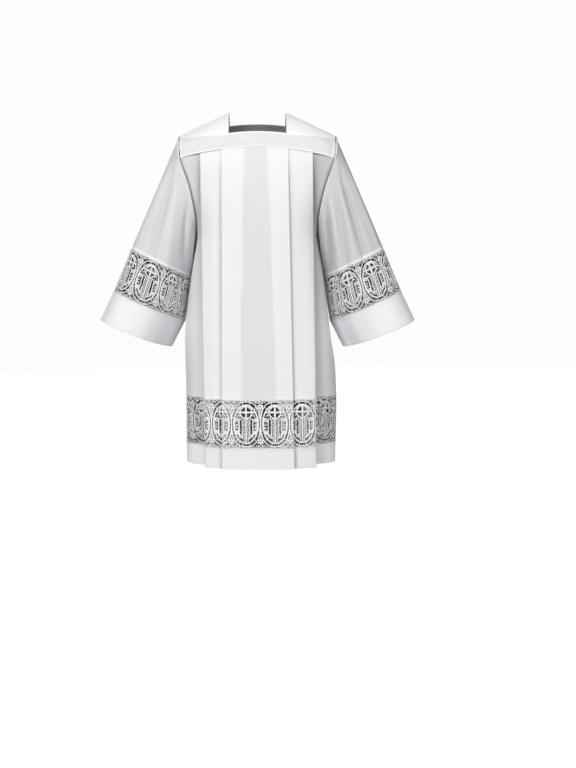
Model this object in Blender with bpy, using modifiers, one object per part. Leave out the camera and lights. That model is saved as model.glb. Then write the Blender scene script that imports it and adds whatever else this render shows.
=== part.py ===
"""A white square-yoked surplice, filled out as it is worn, with lace let in above the hem and the cuffs.

Run with: blender --background --python part.py, or from Blender's text editor.

Metres, +Z up. The front faces -Y, and left and right are the wearer's, so the left sleeve is at +X. The
origin is between the shoulders, level with the inner ends of the shoulder straps, which rest on the wearer
there. Each piece that a maker cuts is one object: a sheet laid through sections of the garment, with Solidify
as its wall.
"""

import math
from collections import namedtuple

import bmesh
import bpy
import numpy as np
from mathutils import Vector, geometry

# Cloth
WALL = 0.0012
YOKE_WALL = 0.0024  # two layers, sewn together
LACE_WALL = 0.0012
SEAM_GAP = 0.0003
SIDE_SEAM_GAP = 0.0005  # between the middles of walls that meet at an angle, whose edges come nearer
YOKE_SEAM_GAP = 0.0009
FOLD_RADIUS = 0.0013  # middle of the wall, round a pressed fold

# Heights, down from the shoulder
NECKLINE_FRONT_Z = -0.061
NECKLINE_BACK_Z = -0.030
NECKLINE_RISE = 0.005  # the neckline's middle stands this much above its corners
YOKE_SEAM_Z = -0.096
YOKE_SEAM_DROP = 0.028  # the seam falls this much towards the armholes
YOKE_SEAM_BOW = 1.75
ARMHOLE_WIDEST_Z = -0.190
UNDERARM_Z = -0.326
LACE_TOP_Z = -0.744
LACE_BOTTOM_Z = -0.867
HEM_Z = -0.920

# Yoke
NECK_HALF_WIDTH = 0.075
SHOULDER_DROP = 0.062  # from the neck to the end of the shoulder
SHOULDER_HALF_WIDTH = 0.205
STRAP_SEAM_END_Z = -0.070  # where the strap's seam reaches the armhole
ARMHOLE_HALF_DEPTH = 0.085
SHOULDER_ROUNDNESS = 1.8
BODY_ROUNDNESS = 3.2
SIDE_ROUNDNESS = 2.4

# Lace
LACE_REPEAT = 0.0737
LACE_MIDDLE_X = {"front": -0.0292, "back": 0.0}  # where a medallion stands on the middle panel
SLEEVE_REPEATS = 9  # round a sleeve
SLEEVE_MEDALLION_AROUND = {"right": 0.230, "left": 0.197}  # where one stands, as a share of the way round
FOLD_CLEARANCE = 0.004  # no gap is cut nearer than this to a pressed fold
OVAL_HALF_WIDTH = 0.031  # inside of the medallion's oval cord
OVAL_HALF_HEIGHT = 0.049
CROSS_MIDDLE_Z = 0.031  # above the middle of the lace
CROSS_GAP_RADIUS = 0.0135
CROSS_HALF_WIDTH = 0.0025

# Upright slots stand beside the staff below the cross, and curved gaps lie inside the oval's foot.
STAFF_SLOT_X = (0.0105, 0.0160)
STAFF_SLOT_Z = (-0.026, 0.012)
FOOT_GAP_X = (0.0060, 0.0145, 0.0230)
FOOT_GAP_HEIGHT = 0.0075

# The body's outline at each height: half widths to the armhole or side seam, and depths at the middle.
Level = namedtuple("Level", "z right left front back")
BODY = [
    Level(z=-0.100, right=0.205, left=0.204, front=0.097, back=0.092),
    Level(z=-0.140, right=0.196, left=0.194, front=0.110, back=0.104),
    Level(z=-0.190, right=0.179, left=0.177, front=0.120, back=0.113),
    Level(z=-0.250, right=0.166, left=0.163, front=0.127, back=0.119),
    Level(z=-0.326, right=0.160, left=0.158, front=0.131, back=0.123),
    Level(z=-0.437, right=0.169, left=0.173, front=0.134, back=0.127),
    Level(z=-0.596, right=0.182, left=0.194, front=0.140, back=0.132),
    Level(z=-0.655, right=0.186, left=0.203, front=0.142, back=0.134),
    Level(z=-0.744, right=0.188, left=0.208, front=0.146, back=0.138),
    Level(z=-0.867, right=0.187, left=0.206, front=0.149, back=0.141),
    Level(z=-0.920, right=0.186, left=0.205, front=0.150, back=0.142),
]

# The knife pleats: where the edge that shows stands at the yoke and at the hem, how far the cloth laps back
# under it, and how far the cloth beneath has fallen away at the hem.
Pleat = namedtuple("Pleat", "panel side edge_top edge_hem lap_top lap_hem opens")
PLEATS = [
    Pleat("front", -1, edge_top=0.0934, edge_hem=0.0891, lap_top=0.058, lap_hem=0.044, opens=0.006),
    Pleat("front", -1, edge_top=0.1485, edge_hem=0.1332, lap_top=0.030, lap_hem=0.040, opens=0.040),
    Pleat("front", +1, edge_top=0.0781, edge_hem=0.0941, lap_top=0.053, lap_hem=0.034, opens=0.006),
    Pleat("front", +1, edge_top=0.1420, edge_hem=0.1507, lap_top=0.028, lap_hem=0.032, opens=0.050),
    Pleat("back", -1, edge_top=0.0860, edge_hem=0.0915, lap_top=0.079, lap_hem=0.084, opens=0.006),
    Pleat("back", -1, edge_top=0.1450, edge_hem=0.1400, lap_top=0.050, lap_hem=0.043, opens=0.036),
    Pleat("back", +1, edge_top=0.0860, edge_hem=0.0915, lap_top=0.079, lap_hem=0.084, opens=0.006),
    Pleat("back", +1, edge_top=0.1450, edge_hem=0.1450, lap_top=0.050, lap_hem=0.047, opens=0.040),
]
MIDDLE_STATIONS = (-0.045, -0.015, 0.015, 0.045)

# The rings of a sleeve below its armhole: its outer and inner points seen from the front, and its depths.
Ring = namedtuple("Ring", "outer_x outer_z inner_x inner_z front back")
SLEEVE_RINGS = {
    "lace_top": Ring(outer_x=0.332, outer_z=-0.358, inner_x=0.181, inner_z=-0.434, front=0.100, back=0.098),
    "lace_bottom": Ring(outer_x=0.378, outer_z=-0.469, inner_x=0.197, inner_z=-0.551, front=0.106, back=0.103),
    "cuff": Ring(outer_x=0.414, outer_z=-0.546, inner_x=0.229, inner_z=-0.620, front=0.108, back=0.105),
}
RING_ROUNDNESS = 2.3
FOLDS_GROW_TO = 0.7  # of the way from the armhole to the lace
FOLDS_FADE = (0.8, 2.0)

# Soft folds falling down a sleeve: where they lie round it (0 outside, 0.25 front, 0.5 underarm), how wide they
# are on the same scale, how far they stand out, and how much of that is left at the cuff.
Fold = namedtuple("Fold", "around width height at_cuff")
SLEEVE_FOLDS = [
    Fold(around=0.10, width=0.030, height=0.005, at_cuff=0.1),
    Fold(around=0.20, width=0.026, height=-0.007, at_cuff=0.1),
    Fold(around=0.29, width=0.030, height=0.006, at_cuff=0.2),
    Fold(around=0.38, width=0.024, height=-0.008, at_cuff=0.2),
    Fold(around=0.62, width=0.028, height=-0.007, at_cuff=0.2),
    Fold(around=0.71, width=0.030, height=0.006, at_cuff=0.2),
    Fold(around=0.82, width=0.030, height=-0.007, at_cuff=0.1),
]

# How finely each sheet is divided
PANEL_ROWS_Z = (-0.150, -0.190, -0.240, -0.280, -0.308, UNDERARM_Z, -0.420, -0.560, LACE_TOP_Z)
SIDE_STEPS = 4
YOKE_STEPS = 4
STRAP_COLUMNS = 6
STRAP_STEPS = 4  # on each side of the shoulder line
SLEEVE_COLUMNS = 24
SLEEVE_ROWS = 5
DENSE = 60  # points used to measure along a curve

PANEL_FACING = {"front": -1, "back": +1}
SIDES = {"right": -1, "left": +1}


def ease(value, start, stop):
    """0 before start, 1 after stop and a smooth step between them."""
    t = min(1.0, max(0.0, (value - start) / (stop - start)))
    return t * t * (3 - 2 * t)


def down_the_body(column, z):
    """A column of BODY at any height, along a smooth curve through its rows."""
    heights = np.array([-level.z for level in BODY])
    values = np.array([getattr(level, column) for level in BODY])
    slopes = np.gradient(values, heights)
    depth = min(max(-z, heights[0]), heights[-1])
    k = min(int(np.searchsorted(heights, depth, side="right")) - 1, len(BODY) - 2)
    step = heights[k + 1] - heights[k]
    t = (depth - heights[k]) / step
    rise = values[k + 1] - values[k]
    turn = t * (1 - t) * ((slopes[k] * step - rise) * (1 - t) - (slopes[k + 1] * step - rise) * t)
    return float(values[k] + rise * t + turn)


def armhole_depth(z):
    """How far the armhole's edge stands in front of the side line: a round end above the underarm."""
    if z >= ARMHOLE_WIDEST_Z:
        return ARMHOLE_HALF_DEPTH
    share = (ARMHOLE_WIDEST_Z - z) / (ARMHOLE_WIDEST_Z - UNDERARM_Z)
    round_end = ARMHOLE_HALF_DEPTH * math.sqrt(max(0.0, 1 - share * share))
    return max(round_end, SIDE_SEAM_GAP / 2)


def bow(x, half_width, depth, edge_depth, roundness):
    """Depth at x of a rounded section, level in the middle and edge_depth deep where half_width cuts it off."""
    cut = 1 - (edge_depth / depth) ** roundness
    share = min(1.0, abs(x) / half_width)
    return depth * (1 - cut * share**roundness) ** (1 / roundness)


def fitted_depth(x, y, half_width, edge_depth, roundness):
    """The depth in the middle of a bow that passes through (x, y)."""
    share = (x / half_width) ** roundness
    return ((y**roundness - share * edge_depth**roundness) / (1 - share)) ** (1 / roundness)


def pressed_fold(edge, depth, outward):
    """Three points round a fold whose outermost x is edge. It starts at depth and ends two radii further in.
    outward is +1 where the fold's edge points away from the garment's middle."""
    return [
        (edge - outward * FOLD_RADIUS, depth),
        (edge, depth - FOLD_RADIUS),
        (edge - outward * FOLD_RADIUS, depth - 2 * FOLD_RADIUS),
    ]


def side_curve(start_x, half_width, depth, edge_depth):
    """Points at even distances from start_x round to the seam, as (x, depth)."""
    xs = half_width - (half_width - start_x) * np.linspace(1, 0, DENSE) ** 3
    ys = [bow(x, half_width, depth, edge_depth, SIDE_ROUNDNESS) for x in xs]
    along = np.concatenate([[0], np.cumsum(np.hypot(np.diff(xs), np.diff(ys)))])
    at = np.linspace(0, along[-1], SIDE_STEPS + 1)
    return list(zip(np.interp(at, along, xs), np.interp(at, along, ys)))


def half_section(panel, side, z):
    """One half of a panel's section, from the middle panel's edge round to the side, as (x, depth) points."""
    half_width = down_the_body("left" if side > 0 else "right", z)
    depth = down_the_body(panel, z)
    edge_depth = armhole_depth(z)
    fallen = max(0.0, (YOKE_SEAM_Z - z) / (YOKE_SEAM_Z - HEM_Z))
    inner, outer = [p for p in PLEATS if (p.panel, p.side) == (panel, side)]
    inner_edge = inner.edge_top + (inner.edge_hem - inner.edge_top) * fallen
    outer_edge = outer.edge_top + (outer.edge_hem - outer.edge_top) * fallen
    inner_lap = inner.lap_top + (inner.lap_hem - inner.lap_top) * fallen
    outer_lap = outer.lap_top + (outer.lap_hem - outer.lap_top) * fallen
    under_inner = 4 * FOLD_RADIUS + inner.opens * fallen
    beneath = under_inner + 4 * FOLD_RADIUS

    def outline(x):
        return bow(x, half_width, depth, edge_depth, BODY_ROUNDNESS)

    side_edge = outline(outer_edge) - beneath - outer.opens * fallen
    side_depth = fitted_depth(outer_edge, side_edge, half_width, edge_depth, SIDE_ROUNDNESS)
    inner_back = inner_edge - inner_lap
    outer_back = outer_edge - outer_lap
    side_start = bow(outer_back, half_width, side_depth, edge_depth, SIDE_ROUNDNESS)
    share = (outer_back - inner_edge) / (outer_edge - inner_edge)
    above = outline(inner_edge) + (outline(outer_edge) - outline(inner_edge)) * share
    side_start = min(side_start, above - beneath - FOLD_RADIUS)
    points = pressed_fold(inner_edge, outline(inner_edge), +1)
    points += pressed_fold(inner_back, outline(inner_back) - under_inner + 2 * FOLD_RADIUS, -1)
    points.append((inner_edge, outline(inner_edge) - under_inner))
    points += pressed_fold(outer_edge, outline(outer_edge) - under_inner, +1)
    points += pressed_fold(outer_back, side_start + 2 * FOLD_RADIUS, -1)
    points += side_curve(outer_edge, half_width, side_depth, edge_depth)
    return points


def section(panel, z):
    """The whole section of the front or the back at one height, from the right side to the left, as (x, y)."""
    right = [(-x, depth) for x, depth in half_section(panel, -1, z)]
    middle = []
    for x in MIDDLE_STATIONS:
        half_width = down_the_body("left" if x > 0 else "right", z)
        middle.append((x, bow(x, half_width, down_the_body(panel, z), armhole_depth(z), BODY_ROUNDNESS)))
    points = right[::-1] + middle + half_section(panel, +1, z)
    return [(x, PANEL_FACING[panel] * depth) for x, depth in points]


def yoke_seam_z(x):
    """Height of the seam between the yoke and the pleated panel: a bow that falls to the armholes."""
    armhole_x = down_the_body("left" if x > 0 else "right", YOKE_SEAM_Z - YOKE_SEAM_DROP)
    return YOKE_SEAM_Z - YOKE_SEAM_DROP * min(1.0, abs(x) / armhole_x) ** YOKE_SEAM_BOW


def shoulder_line_z(x):
    """Height of the ridge over the shoulder. Between the straps it only carries the yoke's curve on."""
    return -SHOULDER_DROP * max(0.0, abs(x) - NECK_HALF_WIDTH) / (SHOULDER_HALF_WIDTH - NECK_HALF_WIDTH)


def yoke_top_z(x, neckline):
    """Upper edge of the yoke's front or back: the neckline, then the seam to the strap."""
    if abs(x) < NECK_HALF_WIDTH:
        return neckline + NECKLINE_RISE * (1 - (x / NECK_HALF_WIDTH) ** 2)
    share = (abs(x) - NECK_HALF_WIDTH) / (SHOULDER_HALF_WIDTH - NECK_HALF_WIDTH)
    return neckline + (STRAP_SEAM_END_Z - neckline) * share


def shoulder_point(x, z, facing):
    """A point on the curve that rises from the pleated panel over the shoulder."""
    low = yoke_seam_z(x)
    half_width = down_the_body("left" if x > 0 else "right", low)
    middle = down_the_body("front" if facing < 0 else "back", low)
    depth = bow(x, half_width, middle, armhole_depth(low), BODY_ROUNDNESS)
    share = min(1.0, max(0.0, (z - low) / (shoulder_line_z(x) - low)))
    return Vector((x, facing * depth * (1 - share**SHOULDER_ROUNDNESS) ** (1 / SHOULDER_ROUNDNESS), z))


def shoulder_width(side, z):
    """Half width of the yoke at its armhole edge."""
    column = "left" if side > 0 else "right"
    tip = SHOULDER_HALF_WIDTH
    seam = down_the_body(column, yoke_seam_z(tip))
    share = min(1.0, (z + SHOULDER_DROP) / (yoke_seam_z(tip) + SHOULDER_DROP))
    return tip + (seam - tip) * share


def armhole_edge(side, facing):
    """Dense points down the edge of an armhole, from the shoulder to the underarm, along yoke and panel."""
    column = "left" if side > 0 else "right"
    seam = yoke_seam_z(SHOULDER_HALF_WIDTH)
    points = []
    for k in range(DENSE):
        share = math.sin(math.pi / 2 * (1 - k / DENSE)) ** (2 / SHOULDER_ROUNDNESS)
        z = seam + (-SHOULDER_DROP - seam) * share
        depth = armhole_depth(seam) * (1 - share**SHOULDER_ROUNDNESS) ** (1 / SHOULDER_ROUNDNESS)
        points.append((side * shoulder_width(side, z), facing * depth, z))
    for k in range(DENSE + 1):
        if k < DENSE // 2:
            z = seam + (ARMHOLE_WIDEST_Z - seam) * k / (DENSE // 2)
        else:
            turn = math.pi / 2 * (k - DENSE // 2) / (DENSE - DENSE // 2)
            z = ARMHOLE_WIDEST_Z + (UNDERARM_Z - ARMHOLE_WIDEST_Z) * math.sin(turn)
        points.append((side * down_the_body(column, z), facing * armhole_depth(z), z))
    return np.array(points)


def armhole_point(side, around):
    """Where a sleeve starts: just outside the armhole's edge, at a share of the way round it."""
    facing = -1 if around <= 0.5 else +1
    share = 2 * around if around <= 0.5 else 2 * (1 - around)
    edge = armhole_edge(side, facing)
    along = np.concatenate([[0], np.cumsum(np.linalg.norm(np.diff(edge, axis=0), axis=1))])
    at = share * along[-1]
    point = Vector([float(np.interp(at, along, edge[:, axis])) for axis in range(3)])
    point.x += side * (WALL / 2 + SEAM_GAP + YOKE_WALL / 2)
    return point


def ring_point(ring, side, around):
    """A point of a sleeve's ring below the armhole, at a share of the way round it."""
    angle = 2 * math.pi * around
    across = math.copysign(abs(math.cos(angle)) ** (2 / RING_ROUNDNESS), math.cos(angle))
    deep = math.copysign(abs(math.sin(angle)) ** (2 / RING_ROUNDNESS), math.sin(angle))
    middle_x, middle_z = (ring.outer_x + ring.inner_x) / 2, (ring.outer_z + ring.inner_z) / 2
    x = middle_x + (ring.outer_x - ring.inner_x) / 2 * across
    z = middle_z + (ring.outer_z - ring.inner_z) / 2 * across
    return Vector((side * x, -deep * (ring.front if deep > 0 else ring.back), z))


def fold_height(around, down):
    """How far the soft folds stand out, where down is 0 at the armhole, 1 at the lace and 3 at the cuff."""
    total = 0.0
    for fold in SLEEVE_FOLDS:
        reach = ease(down, 0.0, FOLDS_GROW_TO) * (1 - (1 - fold.at_cuff) * ease(down, *FOLDS_FADE))
        total += fold.height * reach * math.exp(-(((around - fold.around) / fold.width) ** 2))
    return total


def sleeve_point(side, around, down):
    """A point of the sleeve: down is 0 at the armhole, 1 and 2 at the lace's edges and 3 at the cuff."""
    rings = list(SLEEVE_RINGS.values())
    if down <= 1:
        start, stop = armhole_point(side, around), ring_point(rings[0], side, around)
        share = down
    else:
        k = min(int(down) - 1, 1)
        start, stop = (ring_point(ring, side, around) for ring in rings[k : k + 2])
        share = down - 1 - k
    point = start.lerp(stop, share)
    middle = sum((ring_point(rings[0], side, a) for a in (0, 0.25, 0.5, 0.75)), Vector()) / 4
    away = ring_point(rings[0], side, around) - middle
    return point + away.normalized() * fold_height(around, down)


def new_object(name, mesh, wall, material):
    obj = bpy.data.objects.new(name, mesh)
    garment.objects.link(obj)
    obj.data.materials.append(material)
    solidify = obj.modifiers.new("wall", "SOLIDIFY")
    solidify.thickness = wall
    solidify.offset = 0.0
    solidify.use_even_offset = True
    return obj


def cloth_sheet(name, columns, rows, place, wall, material, closed=False):
    """A sheet of cloth as a grid, each of whose points is put where place(column, row) says."""
    bm = bmesh.new()
    bmesh.ops.create_grid(bm, x_segments=columns, y_segments=rows, size=1)
    bm.verts.ensure_lookup_table()
    for index, vertex in enumerate(bm.verts):
        row, column = divmod(index, columns + 1)
        vertex.co = place(column, row)
    if closed:
        bmesh.ops.remove_doubles(bm, verts=bm.verts, dist=WALL / 20)
    mesh = bpy.data.meshes.new(name)
    bm.to_mesh(mesh)
    bm.free()
    return new_object(name, mesh, wall, material)


def pleated_panel(panel):
    """The front or the back, from the yoke's seam down to the lace."""
    seam_section = section(panel, YOKE_SEAM_Z - YOKE_SEAM_DROP / 2)
    rows = [None, *PANEL_ROWS_Z]

    def place(column, row):
        z = rows[row]
        if row == 0:
            z = yoke_seam_z(seam_section[column][0]) - YOKE_SEAM_GAP
        elif row == len(rows) - 1:
            z += SEAM_GAP / 2
        return (*section(panel, z)[column], z)

    return cloth_sheet(panel, len(seam_section) - 1, len(rows) - 1, place, WALL, linen)


def hem_band(panel):
    """The plain band below the lace."""
    heights = (LACE_BOTTOM_Z - SEAM_GAP / 2, HEM_Z)
    columns = len(section(panel, HEM_Z)) - 1

    def place(column, row):
        return (*section(panel, heights[row])[column], heights[row])

    return cloth_sheet("hem_" + panel, columns, 1, place, WALL, linen)


def seam_angle(x, neckline, gap=0.0):
    """Where the seam between yoke and strap lies on the curve over the shoulder: 0 at the panel, 90 on top."""
    low = yoke_seam_z(x)
    share = (yoke_top_z(x, neckline) + gap - low) / (shoulder_line_z(x) - low)
    return math.asin(share ** (SHOULDER_ROUNDNESS / 2))


def over_shoulder(x, angle, facing):
    """A point at an angle on the curve over the shoulder. At the armhole edge it keeps to the armhole's line."""
    low = yoke_seam_z(x)
    z = low + (shoulder_line_z(x) - low) * math.sin(angle) ** (2 / SHOULDER_ROUNDNESS)
    point = shoulder_point(x, z, facing)
    if math.isclose(abs(x), SHOULDER_HALF_WIDTH):
        side = 1 if x > 0 else -1
        point.x = side * shoulder_width(side, z)
    return point


def strap_x(column):
    return NECK_HALF_WIDTH + (SHOULDER_HALF_WIDTH - NECK_HALF_WIDTH) * column / STRAP_COLUMNS


def yoke_panel(panel, neckline):
    """The yoke's front or back band, between the armholes, with the neckline in the middle of its upper edge."""
    out = [0.0, NECK_HALF_WIDTH / 3, NECK_HALF_WIDTH * 2 / 3] + [strap_x(k) for k in range(STRAP_COLUMNS + 1)]
    xs = sorted({side * x for x in out for side in (-1, 1)})

    def place(column, row):
        angle = seam_angle(xs[column], neckline) * row / YOKE_STEPS
        return over_shoulder(xs[column], angle, PANEL_FACING[panel])

    return cloth_sheet("yoke_" + panel, len(xs) - 1, YOKE_STEPS, place, YOKE_WALL, linen)


def shoulder_strap(name, side):
    """The strap over one shoulder, from the front band's seam to the back band's."""

    def place(column, row):
        x = strap_x(column)
        front = row < STRAP_STEPS
        lowest = seam_angle(x, NECKLINE_FRONT_Z if front else NECKLINE_BACK_Z, SIDE_SEAM_GAP)
        share = 1 - abs(row - STRAP_STEPS) / STRAP_STEPS
        return over_shoulder(side * x, lowest + (math.pi / 2 - lowest) * share, -1 if front else +1)

    return cloth_sheet(name, STRAP_COLUMNS, 2 * STRAP_STEPS, place, YOKE_WALL, linen)


def sleeve_tube(name, side, first, last, rows, material):
    """A length of a sleeve, between two places down it."""

    def place(column, row):
        down = first + (last - first) * row / rows
        return sleeve_point(side, (column % SLEEVE_COLUMNS) / SLEEVE_COLUMNS, down)

    return cloth_sheet(name, SLEEVE_COLUMNS, rows, place, WALL, material, closed=True)


def medallion_gaps():
    """The large gaps of one repeat of the lace, about its middle: four round the cross at the top of the oval,
    one on each side of the staff below it, and one on each side of the oval's foot."""
    corner = CROSS_HALF_WIDTH
    tip = math.sqrt(CROSS_GAP_RADIUS**2 - corner**2)
    bulge = CROSS_GAP_RADIUS * math.sqrt(0.5)
    quarter = [(corner, corner), (tip, corner), (bulge, bulge), (corner, tip)]
    slot = [(x, z) for x in STAFF_SLOT_X for z in STAFF_SLOT_Z]
    slot[2], slot[3] = slot[3], slot[2]
    foot = [(x, -OVAL_HALF_HEIGHT * math.sqrt(1 - (x / OVAL_HALF_WIDTH) ** 2)) for x in FOOT_GAP_X]
    foot += [(x, z + FOOT_GAP_HEIGHT) for x, z in foot[::-1]]
    gaps = []
    for side in (1, -1):
        for up in (1, -1):
            gaps.append([(side * x, CROSS_MIDDLE_Z + up * z) for x, z in quarter])
        gaps.append([(side * x, z) for x, z in slot])
        gaps.append([(side * x, z) for x, z in foot])
    return gaps


def holds(polygon, point):
    """Whether a point lies inside a polygon."""
    inside = False
    for (ax, ay), (bx, by) in zip(polygon, polygon[1:] + polygon[:1]):
        if (ay > point[1]) != (by > point[1]) and point[0] < ax + (bx - ax) * (point[1] - ay) / (by - ay):
            inside = not inside
    return inside


def lace_strip(name, columns, folds, medallions, height, place):
    """A strip of lace with its large gaps cut through. columns are its ends and the places where it bends, folds
    those where it is pressed flat, medallions those where a repeat of the pattern has its middle, and
    place(along, up) puts a point of the flat strip on the garment."""
    kept_whole = [*folds, columns[0], columns[-1]]
    gaps = []
    for middle in medallions:
        for gap in medallion_gaps():
            moved = [(middle + x, height / 2 + z) for x, z in gap]
            low, high = min(p[0] for p in moved), max(p[0] for p in moved)
            if all(fold < low - FOLD_CLEARANCE or fold > high + FOLD_CLEARANCE for fold in kept_whole):
                gaps.append(moved)
    points, edges = [], []
    for along in columns:
        edges.append((len(points), len(points) + 1))
        points += [(along, 0.0), (along, height)]
    for k in range(len(columns) - 1):
        edges += [(2 * k, 2 * k + 2), (2 * k + 1, 2 * k + 3)]
    for gap in gaps:
        first = len(points)
        points += gap
        edges += [(first + k, first + (k + 1) % len(gap)) for k in range(len(gap))]
    flat, _, faces, *_ = geometry.delaunay_2d_cdt([Vector(p) for p in points], edges, [], 1, 1e-6)
    kept = []
    for face in faces:
        middle = sum((flat[k] for k in face), Vector((0, 0))) / len(face)
        if not any(holds(gap, middle) for gap in gaps):
            kept.append(face)
    mesh = bpy.data.meshes.new(name)
    mesh.from_pydata([place(p.x, p.y) for p in flat], [], kept)
    return new_object(name, mesh, LACE_WALL, lace_thread)


def hem_lace(panel):
    """The lace let in above the hem of the front or the back. It is pleated with the cloth."""
    height = LACE_TOP_Z - LACE_BOTTOM_Z - SEAM_GAP
    middle = section(panel, (LACE_TOP_Z + LACE_BOTTOM_Z) / 2)
    steps = [math.dist(a, b) for a, b in zip(middle, middle[1:])]
    columns = [0.0, *np.cumsum(steps)]
    folds = [columns[k + 1] for k in range(len(steps) - 2) if max(steps[k], steps[k + 1]) < 2 * FOLD_RADIUS]
    flat = len(steps) // 2
    share = (LACE_MIDDLE_X[panel] - middle[flat][0]) / (middle[flat + 1][0] - middle[flat][0])
    first = columns[flat] + share * steps[flat]
    reach = math.ceil(columns[-1] / LACE_REPEAT)
    medallions = [first + k * LACE_REPEAT for k in range(-reach, reach + 1)]
    medallions = [along for along in medallions if 0 < along < columns[-1]]

    def place(along, up):
        z = LACE_BOTTOM_Z + SEAM_GAP / 2 + up
        points = section(panel, z)
        return (
            float(np.interp(along, columns, [p[0] for p in points])),
            float(np.interp(along, columns, [p[1] for p in points])),
            z,
        )

    return lace_strip("lace_" + panel, columns, folds, medallions, height, place)


def sleeve_lace(side_name, half):
    """The lace let in above a cuff: the half of it that faces the front or the back."""
    side = SIDES[side_name]
    ring = [sleeve_point(side, k % SLEEVE_COLUMNS / SLEEVE_COLUMNS, 1.5) for k in range(SLEEVE_COLUMNS + 1)]
    round_ring = np.concatenate([[0], np.cumsum([(b - a).length for a, b in zip(ring, ring[1:])])])
    first = 0 if half == "front" else SLEEVE_COLUMNS // 2
    stations = [k / SLEEVE_COLUMNS for k in range(first, first + SLEEVE_COLUMNS // 2 + 1)]
    columns = [float(along - round_ring[first]) for along in round_ring[first : first + len(stations)]]
    cut = [SIDE_SEAM_GAP / 2, *columns[1:-1], columns[-1] - SIDE_SEAM_GAP / 2]
    height = LACE_TOP_Z - LACE_BOTTOM_Z
    gap = SIDE_SEAM_GAP / height

    def place(along, up):
        k = min(max(int(np.searchsorted(columns, along, side="right")) - 1, 0), len(stations) - 2)
        share = (along - columns[k]) / (columns[k + 1] - columns[k])
        down = 2 - gap / 2 - (1 - gap) * up / height
        return sleeve_point(side, stations[k], down).lerp(sleeve_point(side, stations[k + 1], down), share)

    name = f"sleeve_lace_{side_name}_{half}"
    repeat = round_ring[-1] / SLEEVE_REPEATS
    shares = np.linspace(0, 1, SLEEVE_COLUMNS + 1)
    start = np.interp(SLEEVE_MEDALLION_AROUND[side_name], shares, round_ring) - round_ring[first]
    medallions = [float(start + k * repeat) for k in range(-SLEEVE_REPEATS, SLEEVE_REPEATS)]
    medallions = [along for along in medallions if 0 < along < columns[-1]]
    return lace_strip(name, cut, [], medallions, height, place)


def cloth_material(name, colour, roughness):
    material = bpy.data.materials.new(name)
    material.use_nodes = True
    shader = material.node_tree.nodes["Principled BSDF"]
    shader.inputs["Base Color"].default_value = (*colour, 1)
    shader.inputs["Roughness"].default_value = roughness
    shader.inputs["Metallic"].default_value = 0.0
    return material


for leftover in list(bpy.data.objects):
    bpy.data.objects.remove(leftover)
garment = bpy.data.collections.new("surplice")
bpy.context.scene.collection.children.link(garment)
linen = cloth_material("linen", (0.86, 0.87, 0.88), 0.8)
lace_thread = cloth_material("lace_thread", (0.88, 0.88, 0.88), 0.7)

yoke_panel("front", NECKLINE_FRONT_Z)
yoke_panel("back", NECKLINE_BACK_Z)
for panel_name in PANEL_FACING:
    pleated_panel(panel_name)
    hem_lace(panel_name)
    hem_band(panel_name)
for side_word, side_sign in SIDES.items():
    shoulder_strap("shoulder_strap_" + side_word, side_sign)
    seam_share = SIDE_SEAM_GAP / 2 / (LACE_TOP_Z - LACE_BOTTOM_Z)
    sleeve_tube("sleeve_" + side_word, side_sign, 0.0, 1.0 - seam_share, SLEEVE_ROWS, linen)
    sleeve_lace(side_word, "front")
    sleeve_lace(side_word, "back")
    sleeve_tube("cuff_" + side_word, side_sign, 2.0 + seam_share, 3.0, 1, linen)
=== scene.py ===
import math
from collections import namedtuple

import bpy
import numpy as np
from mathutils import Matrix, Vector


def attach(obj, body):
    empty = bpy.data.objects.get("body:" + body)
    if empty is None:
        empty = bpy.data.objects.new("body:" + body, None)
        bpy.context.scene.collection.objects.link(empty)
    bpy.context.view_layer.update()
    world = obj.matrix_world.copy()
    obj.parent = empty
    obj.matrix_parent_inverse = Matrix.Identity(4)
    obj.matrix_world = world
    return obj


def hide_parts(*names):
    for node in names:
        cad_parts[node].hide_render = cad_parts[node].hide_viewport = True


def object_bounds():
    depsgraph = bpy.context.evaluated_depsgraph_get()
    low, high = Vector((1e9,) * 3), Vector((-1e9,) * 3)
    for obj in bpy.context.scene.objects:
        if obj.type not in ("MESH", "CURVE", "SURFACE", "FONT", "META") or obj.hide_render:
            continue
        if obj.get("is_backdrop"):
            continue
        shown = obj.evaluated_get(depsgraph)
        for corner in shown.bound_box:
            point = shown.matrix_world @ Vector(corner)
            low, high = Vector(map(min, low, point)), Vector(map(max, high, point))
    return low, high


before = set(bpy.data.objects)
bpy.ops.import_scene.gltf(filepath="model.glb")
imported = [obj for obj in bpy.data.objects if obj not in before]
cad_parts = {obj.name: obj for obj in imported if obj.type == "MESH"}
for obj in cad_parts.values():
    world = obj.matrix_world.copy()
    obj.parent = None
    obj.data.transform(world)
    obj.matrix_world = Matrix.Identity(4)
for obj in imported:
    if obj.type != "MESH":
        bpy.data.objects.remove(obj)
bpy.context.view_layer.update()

# The studio: a plain pale floor and backdrop, a broad soft key light high on the left of the camera, a weaker
# fill on its right, another behind the garment, and a surround that lights from overhead and leaves the
# inside of the garment in shade. The camera looks level from the height of the chest.
EYE = (0.0, -3.5, -0.35)
LENS_MM = 61.9
SHIFT_X, SHIFT_Y = 0.0397, -0.181
FLOOR_Z, FLOOR_GLOW, FLOOR_GREY = -1.44, 0.94, 0.12
BACKDROP_RADIUS, BACKDROP_HEIGHT, BACKDROP_GLOW = 14.0, 8.0, 0.985
OVERHEAD, LEVEL_LIGHT = 0.24, 0.16  # the surround's light from above and from the sides
KEY_PLACE, KEY_SIDE, KEY_WATTS = (-3.9, -6.7, 2.9), 3.6, 480.0
FILL_PLACE, FILL_SIDE, FILL_WATTS = (4.2, -5.8, 2.0), 3.6, 230.0
BACK_PLACE, BACK_SIDE, BACK_WATTS = (-1.6, 7.2, 1.6), 4.0, 330.0
AIM = (0.0, 0.0, -0.45)


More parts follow.
